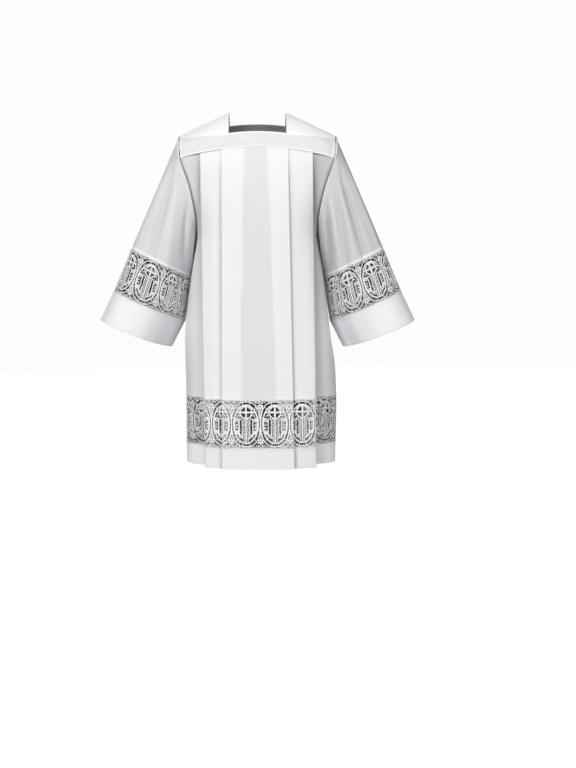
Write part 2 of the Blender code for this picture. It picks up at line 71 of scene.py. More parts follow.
def set_inputs(node, inputs):
    """Gives inputs of a shader node their values, or links from other nodes."""
    for label, value in inputs.items():
        if isinstance(value, bpy.types.NodeSocket):
            node.id_data.links.new(value, node.inputs[label])
        else:
            node.inputs[label].default_value = value


def add_node(tree, kind, inputs, **settings):
    """A new shader node."""
    node = tree.nodes.new("ShaderNode" + kind)
    for name, value in settings.items():
        setattr(node, name, value)
    set_inputs(node, inputs)
    return node


def paint(name, inputs):
    """A new material."""
    made = bpy.data.materials.new(name)
    made.use_nodes = True
    set_inputs(made.node_tree.nodes["Principled BSDF"], inputs)
    return made


scene = bpy.context.scene
scene.view_settings.view_transform = "Standard"
bpy.ops.object.camera_add(location=EYE, rotation=(math.pi / 2, 0, 0))
camera = bpy.context.object
camera.name = "camera"
camera.data.lens = LENS_MM
camera.data.sensor_width = 36.0
camera.data.shift_x, camera.data.shift_y = SHIFT_X, SHIFT_Y
scene.camera = camera

for light_name, place, side, watts in (
    ("key_light", KEY_PLACE, KEY_SIDE, KEY_WATTS),
    ("fill_light", FILL_PLACE, FILL_SIDE, FILL_WATTS),
    ("back_light", BACK_PLACE, BACK_SIDE, BACK_WATTS),
):
    bpy.ops.object.light_add(type="AREA", location=place)
    light = bpy.context.object
    light.name = light_name
    light.data.size = side
    light.data.energy = watts
    light.visible_camera = False
    toward = [a - b for a, b in zip(AIM, place)]
    turn = math.atan2(-toward[0], toward[1])
    light.rotation_euler = (math.acos(-toward[2] / math.hypot(*toward)), 0, turn)

surround = bpy.data.worlds.new("surround")
scene.world = surround
surround.use_nodes = True
tree = surround.node_tree
direction = add_node(tree, "TexCoord", {}).outputs["Generated"]
upward = add_node(tree, "SeparateXYZ", {"Vector": direction}).outputs["Z"]
brightness = {"Value": upward, "From Min": 0.10, "From Max": 0.60, "To Min": LEVEL_LIGHT, "To Max": OVERHEAD}
brightness = add_node(tree, "MapRange", brightness).outputs["Result"]
set_inputs(tree.nodes["Background"], {"Color": (1, 1, 1, 1), "Strength": brightness})

bpy.ops.object.select_all(action="DESELECT")
bpy.ops.mesh.primitive_circle_add(
    vertices=96, radius=BACKDROP_RADIUS, fill_type="NGON", location=(0, 0, FLOOR_Z)
)
floor = bpy.context.object
floor.name = "floor"
bpy.ops.object.transform_apply(location=True)
glowing = {"Specular IOR Level": 0.0, "Emission Color": (1, 1, 1, 1), "Emission Strength": FLOOR_GLOW}
grey = {"Base Color": (FLOOR_GREY, FLOOR_GREY, FLOOR_GREY, 1), "Roughness": 0.9}
floor.data.materials.append(paint("pale_floor", glowing | grey))
bpy.ops.mesh.primitive_cylinder_add(
    vertices=96,
    radius=BACKDROP_RADIUS,
    depth=BACKDROP_HEIGHT,
    end_fill_type="NOTHING",
    location=(0, 0, FLOOR_Z + BACKDROP_HEIGHT / 2),
)
backdrop = bpy.context.object
backdrop.name = "backdrop"
bpy.ops.object.transform_apply(location=True)
black = {"Base Color": (0, 0, 0, 1), "Emission Strength": BACKDROP_GLOW}
backdrop.data.materials.append(paint("white_backdrop", glowing | black))
for stage_piece in (floor, backdrop):
    stage_piece.visible_diffuse = False
    stage_piece.visible_glossy = False
    stage_piece.visible_shadow = False
    stage_piece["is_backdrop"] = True

# Front and back: plain-woven white cloth, cut wide and laid in knife pleats, whose pressed edges face the
# sides. Two pleats stand on each side of a flat middle, their laps lying hidden behind. The cloth is stitched
# into the yoke at the top and to the lace at the bottom, and front and back meet in the side seams.
PANEL_WALL = 0.0007
FOLD_RADIUS = 0.0013
YOKE_SEAM_Z, YOKE_SEAM_DROP, YOKE_SEAM_BOW = -0.096, 0.028, 1.75
ARMHOLE_WIDEST_Z, UNDERARM_Z, ARMHOLE_HALF_DEPTH = -0.190, -0.326, 0.085
LACE_TOP_Z, LACE_BOTTOM_Z, HEM_Z = -0.744, -0.867, -0.920
BODY_ROUNDNESS, SIDE_ROUNDNESS = 3.2, 2.4
FACING, SIDES = {"front": -1, "back": +1}, {"right": -1, "left": +1}

# Outline of the body down its height: half widths to the armhole or side seam, and depths in the middle.
Level = namedtuple("Level", "z right left front back")
BODY = np.array([
    Level(-0.100, 0.205, 0.204, 0.097, 0.092),
    Level(-0.140, 0.196, 0.194, 0.110, 0.104),
    Level(-0.190, 0.179, 0.177, 0.120, 0.113),
    Level(-0.250, 0.166, 0.163, 0.127, 0.119),
    Level(-0.326, 0.160, 0.158, 0.131, 0.123),
    Level(-0.380, 0.1672, 0.1660, 0.1325, 0.125),
    Level(-0.437, 0.1755, 0.1745, 0.134, 0.127),
    Level(-0.596, 0.191, 0.194, 0.140, 0.132),
    Level(-0.655, 0.190, 0.203, 0.142, 0.134),
    Level(-0.744, 0.188, 0.208, 0.146, 0.138),
    Level(-0.867, 0.187, 0.206, 0.149, 0.141),
    Level(-0.920, 0.186, 0.205, 0.150, 0.142),
])

# The pleats: place of the edge and reach of the hidden lap, at the yoke and at the hem, and how far the cloth
# beneath has fallen away at the hem.
Pleat = namedtuple("Pleat", "panel side edge_top edge_hem lap_top lap_hem opens")
PLEATS = [
    Pleat("front", -1, 0.0934, 0.0891, 0.058, 0.044, 0.006),
    Pleat("front", -1, 0.1485, 0.1332, 0.030, 0.040, 0.040),
    Pleat("front", +1, 0.0781, 0.0941, 0.053, 0.034, 0.006),
    Pleat("front", +1, 0.1420, 0.1507, 0.028, 0.032, 0.050),
    Pleat("back", -1, 0.0860, 0.0915, 0.079, 0.084, 0.006),
    Pleat("back", -1, 0.1450, 0.1400, 0.050, 0.043, 0.036),
    Pleat("back", +1, 0.0860, 0.0915, 0.079, 0.084, 0.006),
    Pleat("back", +1, 0.1450, 0.1450, 0.050, 0.047, 0.040),
]

# Soft creases in the hanging cloth, each along a line from top to bottom, with half its width and how far it
# stands out.
Crease = namedtuple("Crease", "x_top z_top x_low z_low width rise")
CREASES = {
    "front": [
        Crease(-0.118, -0.18, -0.112, -0.66, 0.010, 0.0012),
        Crease(-0.062, -0.20, -0.070, -0.72, 0.014, -0.0010),
        Crease(0.004, -0.22, 0.010, -0.74, 0.020, -0.0012),
        Crease(0.052, -0.30, 0.060, -0.74, 0.012, 0.0012),
        Crease(0.116, -0.16, 0.120, -0.70, 0.010, -0.0012),
        Crease(-0.166, -0.40, -0.170, -0.90, 0.012, 0.0030),
        Crease(0.176, -0.38, 0.186, -0.90, 0.013, 0.0030),
    ],
    "back": [
        Crease(0.112, -0.20, 0.116, -0.68, 0.011, 0.0014),
        Crease(0.048, -0.24, 0.058, -0.72, 0.016, -0.0014),
        Crease(-0.010, -0.18, -0.016, -0.74, 0.022, -0.0012),
        Crease(-0.064, -0.28, -0.058, -0.70, 0.013, 0.0012),
        Crease(-0.120, -0.22, -0.118, -0.74, 0.012, -0.0014),
        Crease(-0.168, -0.42, -0.172, -0.90, 0.013, 0.0030),
        Crease(0.178, -0.36, 0.184, -0.90, 0.012, 0.0030),
    ],
}
FOLD_POINTS = 5
MIDDLE_COLUMNS, SHOWN_COLUMNS, HIDDEN_COLUMNS, SIDE_COLUMNS = 38, 18, 5, 28
CROWDING, SIDE_CROWDING = 0.09, 1.6  # how much closer columns stand beside a fold and at the side seam
FLAT_AT_YOKE = 0.4  # share of a fold's roundness left where the pleats are pressed flat under the yoke
PRESSED_REACH = (0.010, 0.110)  # how far below the yoke's seam that share starts and stops growing
LAYER_RADII = 4  # a pleat's layers lie that many fold radii apart
# Painted light and shade on the panels and the hem: single cloth, the sides and the cloth beside a pleat's
# edge are painted darker, and a pleat's edge and the hem's sides are painted lighter.
MIDDLE_SHADE = 0.115  # painted shade: how much darker single cloth is painted than cloth laid on more cloth
SHARP, SOFT_AT_HEM = 0.0006, 0.010  # half width of the step between both, and its spread at the hem
SHADE_LEVELS = (0.14, 0.55, 0.9)  # shares of the way down at which the sides have these painted shades
SIDE_SHADES = {-1: (0.17, 0.04, 0.01), +1: (0.32, 0.11, 0.04)}
HEM_SIDE_GLEAM = 0.20
EDGE_SHADES = {-1: (0.16, 0.22), +1: (0.20, 0.28)}  # painted shade beside the inner and the outer pleat's edge
EDGE_REACHES, EDGE_AT_YOKE = (0.009, 0.015), (0.35, 0.80)
EDGE_GLEAM, GLEAM_REACH, ROUND_EDGE = 0.05, 0.0035, 0.0004
BEYOND_EDGE, WITHIN_EDGE = 0.0010, 0.0002  # reach of the step in painted shade at an outer pleat's edge
PANEL_ROWS = 72
EDGE_ROWS = (0.0, 0.0010, 0.0022, 0.0032, 0.0044)  # distances from a sewn edge
EDGE_LIFT = 0.0005  # a turned edge stands out by this much
TOP_STITCHES, FOOT_STITCHES = 2, -3  # the rows of a sheet along which it is stitched
UNDER_YOKE, LACE_GAP = 0.0012, 0.0002  # how far a panel reaches behind the yoke and stops short of the lace


def ease(value, start, stop):
    """0 before start, 1 after stop and a smooth step between them."""
    t = np.clip((value - start) / (stop - start), 0.0, 1.0)
    return t * t * (3 - 2 * t)


def mix(first, second, share):
    """What lies at a share of the way from the first to the second."""
    return first + (second - first) * share


def bell(distance, reach):
    """1 at no distance, falling off smoothly to next to nothing at twice the reach."""
    return np.exp(-((distance / reach) ** 2))


def down_the_body(column, z):
    """A column of BODY at one height, along a smooth curve through its rows."""
    heights = -BODY[:, 0]
    values = BODY[:, Level._fields.index(column)]
    slopes = np.gradient(values, heights)
    depth = min(max(-z, heights[0]), heights[-1])
    k = min(int(np.searchsorted(heights, depth, side="right")) - 1, len(heights) - 2)
    step = heights[k + 1] - heights[k]
    t = (depth - heights[k]) / step
    rise = values[k + 1] - values[k]
    turn = t * (1 - t) * ((slopes[k] * step - rise) * (1 - t) - (slopes[k + 1] * step - rise) * t)
    return float(values[k] + rise * t + turn)


def half_width_at(side, z):
    """Half width of the body on one side at one height, to the armhole or the side seam."""
    return down_the_body("left" if side > 0 else "right", z)


def armhole_depth(z):
    """How far the armhole's edge stands in front of the side line: a round end above the underarm."""
    if z >= ARMHOLE_WIDEST_Z:
        return ARMHOLE_HALF_DEPTH
    share = (ARMHOLE_WIDEST_Z - z) / (ARMHOLE_WIDEST_Z - UNDERARM_Z)
    return ARMHOLE_HALF_DEPTH * math.sqrt(max(0.0, 1 - share * share))


def bow(x, half_width, depth, edge_depth, roundness):
    """Depth at x of a rounded section: level in the middle, edge_depth deep where half_width cuts it off."""
    cut = 1 - (edge_depth / depth) ** roundness
    share = np.minimum(1.0, np.abs(x) / half_width)
    return depth * (1 - cut * share**roundness) ** (1 / roundness)


def pressed_fold(edge, depth, outward, radius):
    """Points round a fold whose outermost x is edge, from depth to two radii further in."""
    angles = np.linspace(0, math.pi, FOLD_POINTS)
    xs = edge - outward * radius * (1 - np.sin(angles))
    return np.column_stack([xs, depth - radius * (1 - np.cos(angles))])


def run_along(path):
    """How far along a path each of its points lies."""
    return np.concatenate([[0], np.cumsum(np.linalg.norm(np.diff(path, axis=0), axis=1))])


def at_lengths(where, along, values):
    """Points between the rows of values, which lie at the lengths along."""
    return np.column_stack([np.interp(where, along, column) for column in values.T])


def pleat_at(pleat, fallen):
    """Places of a pleat's edge and of its lap's inner fold, at a share of the way from yoke to hem."""
    edge = mix(pleat.edge_top, pleat.edge_hem, fallen)
    return edge, edge - mix(pleat.lap_top, pleat.lap_hem, fallen)


def way_down(z):
    """The share of the way from yoke to hem at one height."""
    return max(0.0, (YOKE_SEAM_Z - z) / (YOKE_SEAM_Z - HEM_Z))


def crowded(count):
    """Shares of the way between two folds, closer together beside them."""
    share = np.linspace(0, 1, count)
    return share - CROWDING * np.sin(2 * np.pi * share)


def line(start, stop, count):
    """Points between two others, which are left out."""
    return mix(np.asarray(start), np.asarray(stop), np.linspace(0, 1, count + 2)[1:-1, None])


def half_section(panel, side, z):
    """Half of a panel's section, from the first pleat's edge round to the side, as rows of x and depth."""
    half_width, depth = half_width_at(side, z), down_the_body(panel, z)
    edge_depth = armhole_depth(z)
    fallen = way_down(z)
    inner, outer = [p for p in PLEATS if (p.panel, p.side) == (panel, side)]
    (inner_edge, inner_back), (outer_edge, outer_back) = pleat_at(inner, fallen), pleat_at(outer, fallen)
    radius = FOLD_RADIUS * mix(FLAT_AT_YOKE, 1, ease(YOKE_SEAM_Z - z, *PRESSED_REACH))
    under_inner = LAYER_RADII * radius + inner.opens * fallen
    beneath = under_inner + LAYER_RADII * radius

    def outline(x):
        return bow(x, half_width, depth, edge_depth, BODY_ROUNDNESS)

    side_edge = outline(outer_edge) - beneath - outer.opens * fallen
    share = (outer_edge / half_width) ** SIDE_ROUNDNESS
    side_depth = (side_edge**SIDE_ROUNDNESS - share * edge_depth**SIDE_ROUNDNESS) / (1 - share)
    side_depth **= 1 / SIDE_ROUNDNESS
    side_start = bow(outer_back, half_width, side_depth, edge_depth, SIDE_ROUNDNESS)
    share = (outer_back - inner_edge) / (outer_edge - inner_edge)
    above = mix(outline(inner_edge), outline(outer_edge), share)
    side_start = min(side_start, above - beneath - radius)

    inner_fold = pressed_fold(inner_edge, outline(inner_edge), +1, radius)
    inner_turn = pressed_fold(inner_back, outline(inner_back) - under_inner + 2 * radius, -1, radius)
    outer_fold = pressed_fold(outer_edge, outline(outer_edge) - under_inner, +1, radius)
    outer_turn = pressed_fold(outer_back, side_start + 2 * radius, -1, radius)
    emerges = (inner_edge, outline(inner_edge) - under_inner)
    shown_x = inner_edge + (outer_fold[0][0] - inner_edge) * crowded(SHOWN_COLUMNS + 1)[:-1]
    shown = np.column_stack([shown_x, outline(shown_x) - under_inner])
    side_x = half_width - (half_width - outer_edge) * np.linspace(1, 0, 4 * SIDE_COLUMNS) ** 3
    side_line = np.column_stack([side_x, bow(side_x, half_width, side_depth, edge_depth, SIDE_ROUNDNESS)])
    along = run_along(side_line)
    places = along[-1] * (1 - np.linspace(1, 0, SIDE_COLUMNS + 1) ** SIDE_CROWDING)
    side_curve = at_lengths(places, along, side_line)
    return np.vstack(
        [
            inner_fold,
            line(inner_fold[-1], inner_turn[0], HIDDEN_COLUMNS),
            inner_turn,
            line(inner_turn[-1], emerges, HIDDEN_COLUMNS),
            shown,
            outer_fold,
            line(outer_fold[-1], outer_turn[0], HIDDEN_COLUMNS),
            outer_turn,
            line(outer_turn[-1], side_curve[0], HIDDEN_COLUMNS),
            side_curve,
        ]
    )


def creases_at(creases, x, z):
    """How far the soft creases stand out at each x of one height."""
    total = np.zeros_like(x)
    for crease in creases:
        share = (z - crease.z_top) / (crease.z_low - crease.z_top)
        fade = ease(share, 0.0, 0.35) * (1 - 0.6 * ease(share, 0.8, 1.1)) if share > 0 else 0.0
        total += crease.rise * fade * bell(x - mix(crease.x_top, crease.x_low, share), crease.width)
    return total


def section(panel, z):
    """The whole section of the front or the back at one height, from right to left, as rows of x and y."""
    right, left = half_section(panel, -1, z), half_section(panel, +1, z)
    depth, edge_depth = down_the_body(panel, z), armhole_depth(z)
    middle_x = -right[0, 0] + (left[0, 0] + right[0, 0]) * crowded(MIDDLE_COLUMNS + 2)[1:-1]
    half_width = np.where(middle_x > 0, half_width_at(+1, z), half_width_at(-1, z))
    middle = np.column_stack([middle_x, bow(middle_x, half_width, depth, edge_depth, BODY_ROUNDNESS)])
    points = np.vstack([right[::-1] * (-1, 1), middle, left])
    points[:, 1] = FACING[panel] * (points[:, 1] + creases_at(CREASES[panel], points[:, 0], z))
    return points


def panel_tone(panel, x, z, single=True):
    """The painted light and shade of a panel at each x of one height: full where the pleats' laps lie behind
    it, painted darker where it is single, in the middle and at the sides, painted shade beside the raised
    edge of a pleat and a painted highlight along it. Where single is false the sides are painted lighter."""
    fallen = way_down(z)
    laid = [p for p in PLEATS if p.panel == panel]
    places = [pleat_at(p, fallen) for p in laid]
    edges = [p.side * edge for p, (edge, _) in zip(laid, places)]
    tone = np.ones_like(x)
    if single:
        right, left = -places[0][1], places[2][1]
        soft = SHARP + SOFT_AT_HEM * fallen
        in_middle = ease(x, right - SHARP, right + SHARP) * (1 - ease(x, left - soft, left + SHARP))
        tone -= MIDDLE_SHADE * in_middle
    at_right = 1 - ease(x, edges[1] - BEYOND_EDGE, edges[1] + WITHIN_EDGE)
    at_left = ease(x, edges[3] - WITHIN_EDGE, edges[3] + BEYOND_EDGE)
    for side, share in ((-1, at_right), (+1, at_left)):
        tone -= share * (np.interp(fallen, SHADE_LEVELS, SIDE_SHADES[side]) if single else -HEM_SIDE_GLEAM)
    for k, pleat in enumerate(laid):
        beyond = (x - edges[k]) * pleat.side
        shade = EDGE_SHADES[pleat.side][k % 2] * mix(EDGE_AT_YOKE[k % 2], 1, ease(fallen, 0.0, 0.12))
        shade *= 1 - 0.6 * ease(fallen, 0.25, 0.75)
        past = beyond > -ROUND_EDGE
        tone -= shade * bell(np.maximum(beyond, 0), EDGE_REACHES[k % 2]) * past
        tone += EDGE_GLEAM * bell(np.minimum(beyond, 0), GLEAM_REACH) * ~past
    return tone


def yoke_seam_z(x):
    """Height of the seam between the yoke and a pleated panel: a bow that falls to the armholes."""
    z_end = YOKE_SEAM_Z - YOKE_SEAM_DROP
    armhole_x = np.where(np.asarray(x) > 0, half_width_at(+1, z_end), half_width_at(-1, z_end))
    return YOKE_SEAM_Z - YOKE_SEAM_DROP * np.minimum(1.0, np.abs(x) / armhole_x) ** YOKE_SEAM_BOW


def add_object(mesh, material):
    """The object that shows a mesh, under the mesh's name."""
    mesh.materials.append(material)
    obj = bpy.data.objects.new(mesh.name, mesh)
    scene.collection.objects.link(obj)
    return obj


def grid_sheet(name, points, wall, closed=False, tone=1.0, bevel=0.0):
    """A sheet of white cloth through rows and columns of points, with its wall on both sides of them. Its UV
    map is the flat cloth in metres, and its tone attribute holds the light and shade painted on it, outside
    and inside; the inside is painted in shade."""
    rows, columns = points.shape[:2]
    index = np.arange(rows * columns).reshape(rows, columns)
    ring = points
    if closed:
        index = np.column_stack([index, index[:, 0]])
        ring = np.concatenate([points, points[:, :1]], axis=1)
    quads = np.stack([index[:-1, :-1], index[1:, :-1], index[1:, 1:], index[:-1, 1:]], axis=-1).reshape(-1, 4)
    mesh = bpy.data.meshes.new(name)
    mesh.from_pydata(points.reshape(-1, 3).tolist(), [], quads.tolist())
    across = np.linalg.norm(np.diff(ring, axis=1), axis=2)
    u = np.concatenate([np.zeros((rows, 1)), np.cumsum(across, axis=1)], axis=1)
    down = np.linalg.norm(np.diff(ring, axis=0), axis=2).mean(axis=1)
    v = np.repeat(-np.concatenate([[0], np.cumsum(down)])[:, None], u.shape[1], axis=1)
    flat = np.stack([u, v], axis=-1)
    corners = np.stack([flat[:-1, :-1], flat[1:, :-1], flat[1:, 1:], flat[:-1, 1:]], axis=2)
    mesh.uv_layers.new(name="cloth").data.foreach_set("uv", corners.astype(np.float32).ravel())
    obj = add_object(mesh, white_cloth)
    bpy.ops.object.select_all(action="DESELECT")
    obj.select_set(True)
    bpy.context.view_layer.objects.active = obj
    solidify = obj.modifiers.new("wall", "SOLIDIFY")
    solidify.thickness = wall
    solidify.offset = 0.0
    solidify.use_even_offset = True
    bpy.ops.object.modifier_apply(modifier="wall")
    outside = np.broadcast_to(np.asarray(tone, np.float32), (rows, columns)).ravel()
    # The inside of the sheet is painted in shade, INSIDE_TONE as light as the outside.
    both = np.concatenate([outside, outside * INSIDE_TONE]).astype(np.float32)
    obj.data.attributes.new("tone", "FLOAT", "POINT").data.foreach_set("value", both)
    if bevel:
        rounding = obj.modifiers.new("rounding", "BEVEL")
        rounding.width = bevel
        rounding.segments = 2
        rounding.limit_method = "ANGLE"
        rounding.angle_limit = math.radians(60)
        bpy.ops.object.modifier_apply(modifier="rounding")
    bpy.ops.object.shade_smooth_by_angle(angle=math.radians(50))
    return obj


# White cloth: a fine over-and-under weave, faint uneven threads, and a soft nap at grazing angles. Its
# colour is scaled by the tone attribute of painted light and shade: cloth on its own, which lets a little
# light through, is painted darker than where it lies on more cloth.
# INSIDE_TONE: the inside of the cloth is painted in shade, half as light as the outside.
CLOTH_WHITE, INSIDE_TONE = (0.861, 0.871, 0.889), 0.50
THREAD_PITCH, SLUB_SCALES = 0.0005, ((900.0, 14.0, 1), (14.0, 900.0, 1))
sheen = {"Sheen Weight": 0.12, "Sheen Roughness": 0.5}
white_cloth = paint("white_cloth", {"Roughness": 0.82, "Specular IOR Level": 0.25} | sheen)
tree = white_cloth.node_tree


def worked_out(operation, first, second=0.0):
    """A number that the cloth's material works out from two others."""
    return add_node(tree, "Math", {0: first, 1: second}, operation=operation).outputs[0]


flat = add_node(tree, "UVMap", {}, uv_map="cloth").outputs["UV"]
threads = add_node(tree, "SeparateXYZ", {"Vector": flat}).outputs
warp, weft = (worked_out("SINE", worked_out("MULTIPLY", threads[k], math.pi / THREAD_PITCH)) for k in "XY")
places = [add_node(tree, "Mapping", {"Vector": flat, "Scale": scale}) for scale in SLUB_SCALES]
slubs = [{"Vector": place.outputs["Vector"], "Scale": 1.0, "Detail": 1.0} for place in places]
slubs = worked_out("ADD", *(add_node(tree, "TexNoise", inputs).outputs["Fac"] for inputs in slubs))
weave = worked_out("ABSOLUTE", worked_out("MULTIPLY", warp, weft))
height = worked_out("ADD", weave, worked_out("MULTIPLY", slubs, 0.8))
relief = add_node(tree, "Bump", {"Strength": 0.25, "Distance": 0.0002, "Height": height}).outputs["Normal"]
tone = add_node(tree, "Attribute", {}, attribute_name="tone").outputs["Fac"]
# Painted light and shade from the tone attribute, times the real unevenness of the slubs.
painted_light_and_slubs = worked_out("MULTIPLY", tone, worked_out("ADD", worked_out("MULTIPLY", slubs, 0.03), 0.97))
shaded = add_node(tree, "VectorMath", {0: CLOTH_WHITE, "Scale": painted_light_and_slubs}, operation="SCALE").outputs["Vector"]
set_inputs(tree.nodes["Principled BSDF"], {"Base Color": shaded, "Normal": relief})

HEIGHTS = np.linspace(-0.092, -0.9205, 260)  # of the sections that the panels are laid through
layers = {panel: np.array([section(panel, z) for z in HEIGHTS]) for panel in FACING}


def on_panel(panel, z):
    """Points of a panel: z holds the height of every column in each row."""
    table = layers[panel]
    at = np.clip((HEIGHTS[0] - z) / (HEIGHTS[0] - HEIGHTS[1]), 0, len(HEIGHTS) - 1.001)
    row = at.astype(int)
    share = (at - row)[..., None]
    column = np.broadcast_to(np.arange(table.shape[1]), z.shape)
    across = mix(table[row, column], table[row + 1, column], share)
    return np.concatenate([across, z[..., None]], axis=-1)


def outward(points, closed=False):
    """Unit normals of a sheet, pointing out of the garment."""
    if closed:
        padded = np.concatenate([points[:, -1:], points, points[:, :1]], axis=1)
        across = padded[:, 2:] - padded[:, :-2]
    else:
        across = np.gradient(points, axis=1)
    normal = np.cross(np.gradient(points, axis=0), across)
    return normal / np.maximum(np.linalg.norm(normal, axis=2, keepdims=True), 1e-12)


def edge_lift(distance):
    """How far cloth stands out beside a sewn edge, where it is turned in."""
    return EDGE_LIFT * (1 - ease(distance, EDGE_ROWS[2], EDGE_ROWS[4]))


def sheet_rows(length, count):
    """Distances down a sheet of that length, closer together beside both of its sewn edges."""
    edge = np.array(EDGE_ROWS)
    between = np.linspace(edge[-1], length - edge[-1], count)[1:-1]
    return np.concatenate([edge, between, (length - edge)[::-1]])


def facing_out(panel, points):
    """Columns from right to left on the front and the other way on the back, so that normals point out."""
    return points if panel == "front" else points[:, ::-1]


def on_surface(points, row, wall, closed=False):
    """A row of a sheet's outer surface, with its normals, along which stitches are sewn."""
    normals = outward(points, closed)
    return points[row] + normals[row] * (wall / 2), normals[row]


def row_lengths(points, closed=False):
    """How long each row of a sheet is."""
    points = np.concatenate([points, points[:, :1]], axis=1) if closed else points
    return np.linalg.norm(np.diff(points, axis=1), axis=2).sum(axis=1)


ARMHOLE_SHADE, ARMHOLE_REACH = 0.68, (0.0048, 0.0086)  # painted shade in the valley beside a sleeve, its width high and low
DEEPER_SHADE, DEEPER_FROM = 0.2, 0.20  # how much darker that painted shade is at the underarm, and from how far down
VALLEY_END, VALLEY_START = (-0.006, 0.010), (0.124, 0.17)  # round the underarm, and below the shoulder
seams = {}
for panel in FACING:
    seam_x = section(panel, YOKE_SEAM_Z - YOKE_SEAM_DROP / 2)[:, 0]
    top_z = yoke_seam_z(seam_x) + UNDER_YOKE
    length = YOKE_SEAM_Z - LACE_TOP_Z
    distances = sheet_rows(length, PANEL_ROWS)[:, None]
    z = top_z + (LACE_TOP_Z + LACE_GAP - top_z) * distances / length
    points = on_panel(panel, z)
    # The panel's painted light and shade.
    tone = np.array([panel_tone(panel, row[:, 0], float(np.mean(row[:, 2]))) for row in points])
    steps = np.linalg.norm(np.diff(points, axis=1), axis=2)
    along = np.concatenate([np.zeros((len(points), 1)), np.cumsum(steps, axis=1)], axis=1)
    from_side = np.minimum(along, along[:, -1:] - along)
    low = ease(-points[..., 2], DEEPER_FROM, -UNDERARM_Z)
    above = ease(points[..., 2] - UNDERARM_Z, *VALLEY_END) * mix(0.4, 1, ease(-points[..., 2], *VALLEY_START))
    # Painted shade in the valley along each armhole.
    tone *= 1 - (ARMHOLE_SHADE + DEEPER_SHADE * low) * above * bell(from_side, mix(*ARMHOLE_REACH, low))
    points = facing_out(panel, points)
    points = points + outward(points) * edge_lift(length - distances)[..., None]
    obj = grid_sheet(panel + "_cloth", points, PANEL_WALL, tone=facing_out(panel, tone))
    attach(obj, "root")
    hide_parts(panel)
    seams["panel_foot_" + panel] = on_surface(points, FOOT_STITCHES, PANEL_WALL)
    width = row_lengths(points)
    area = width.mean() * length

# Lace let in above the hem: a machine-made band of cotton, worked solid in raised cords on a fine diamond
# net, and pleated with the cloth. Each repeat is a medallion of two oval cords round a cross in a ring over a
# staff of upright cords, with scrolls at its sides. Between medallions flowers stand at both edges.
LACE_REPEAT = 0.0737
LACE_MIDDLE_X = {"front": -0.0292, "back": 0.0}
SLEEVE_REPEATS = 9
NET_STEPS = 27  # meshes of the net in one repeat
NET_THREAD, LAP_THREAD, NET_HEIGHT = 0.30, 1.3, 0.30  # in the hidden laps of the pleats the net is closer
NET_TONE = 0.5  # painted shade: its single fine threads are painted darker than the cords
CLOSE_BACK, CLOSE_SLEEVE = 0.75, 1.3  # threads of the closer net on the back and on a sleeve's hidden side
LONGEST_THREAD, LONGEST_CLOSE_THREAD, SHORTEST_THREAD = 12.0, 17.0, 2.3
THREAD_STEP = 0.2  # how finely a thread is tested against the gaps
END_MARGIN, FOLD_MARGIN = 0.2, 0.05  # how near the band's ends and its folds a path gets no point
TIP = 0.15  # share of its width that a tapered cord has at its tips
CORD_STEP, CORD_SIDES, THREAD_SIDES, NET_LIFT = 3.1, 5, 3, 0.12
END_CORD, END_INSET = 0.9, (0.5, 0.8)  # the cord at an open end of a band, and its distance from the edges
BAND_GAP, BAND_ROWS = 0.00015, 7
NO_LAPS, NO_FOLDS = np.zeros((0, 2)), np.zeros(0)
MM = 0.001
HALF_REPEAT, HALF_HEIGHT = 36.85, 61.35
OVAL, OVAL_CORD = (31.0, 48.4), 4.2  # the middle line of the inner oval cord, half width and half height
OUTER_OVAL, OUTER_CORD, OUTER_SQUARENESS = (36.4, 56.4), 3.0, 2.5
CROSS_V, RING_RADIUS, CROSS_HOLE = 30.0, 15.2, 13.1
SLOT_U, SLOT_V = (10.5, 16.0), (-26.0, 12.0)
FOOT_U, FOOT_RISE = (6.0, 23.0), 7.5
VOLUTES = ((23.4, 9.8, 5.0), (21.8, -20.3, 4.7))  # u, v and radius
SCALLOPS, SCALLOP_V, EDGE_V = 10, 59.4, 59.6
LEAVES = (  # path, width and height
    ([(11.0, -30.6), (14.5, -32.6), (19.0, -32.2)], 3.6, 1.4),
    ([(28.8, -3.0), (25.0, -1.6), (20.0, -3.4)], 4.4, 1.4),
    ([(28.4, -7.0), (24.5, -8.6), (20.4, -12.4)], 4.2, 1.4),
    ([(15.6, 25.5), (18.5, 22.6), (22.6, 20.0)], 4.2, 1.4),
    ([(15.0, 37.5), (17.0, 39.8), (16.6, 42.6)], 3.4, 1.3),
)

Stroke = namedtuple("Stroke", "path width height closed tapered")


def squared(share, squareness):
    """A cosine or sine made squarer, for an oval with fuller corners."""
    return np.sign(share) * np.abs(share) ** (2 / squareness)


def ellipse(u, v, half_width, half_height, start=0.0, stop=360.0, squareness=2.0):
    """Points along an ellipse, or a squarer oval, no further apart than a cord's step."""
    longest = max(half_width, half_height) * math.radians(abs(stop - start))
    angles = np.radians(np.linspace(start, stop, max(4, int(longest / CORD_STEP) + 1)))
    across, up = (squared(wave(angles), squareness) for wave in (np.cos, np.sin))
    return np.column_stack([u + half_width * across, v + half_height * up])


def between(*corners):
    """Points along straight runs between corners."""
    path = [np.array(corners[:1], float)]
    for a, b in zip(corners, corners[1:]):
        count = max(1, int(math.dist(a, b) / CORD_STEP))
        path.append(mix(np.array(a), np.array(b), np.linspace(0, 1, count + 1)[1:, None]))
    return np.vstack(path)


def foot_line(u):
    """Inside of the inner oval cord at its foot."""
    return -(OVAL[1] - OVAL_CORD / 2) * np.sqrt(1 - (u / (OVAL[0] - OVAL_CORD / 2)) ** 2)


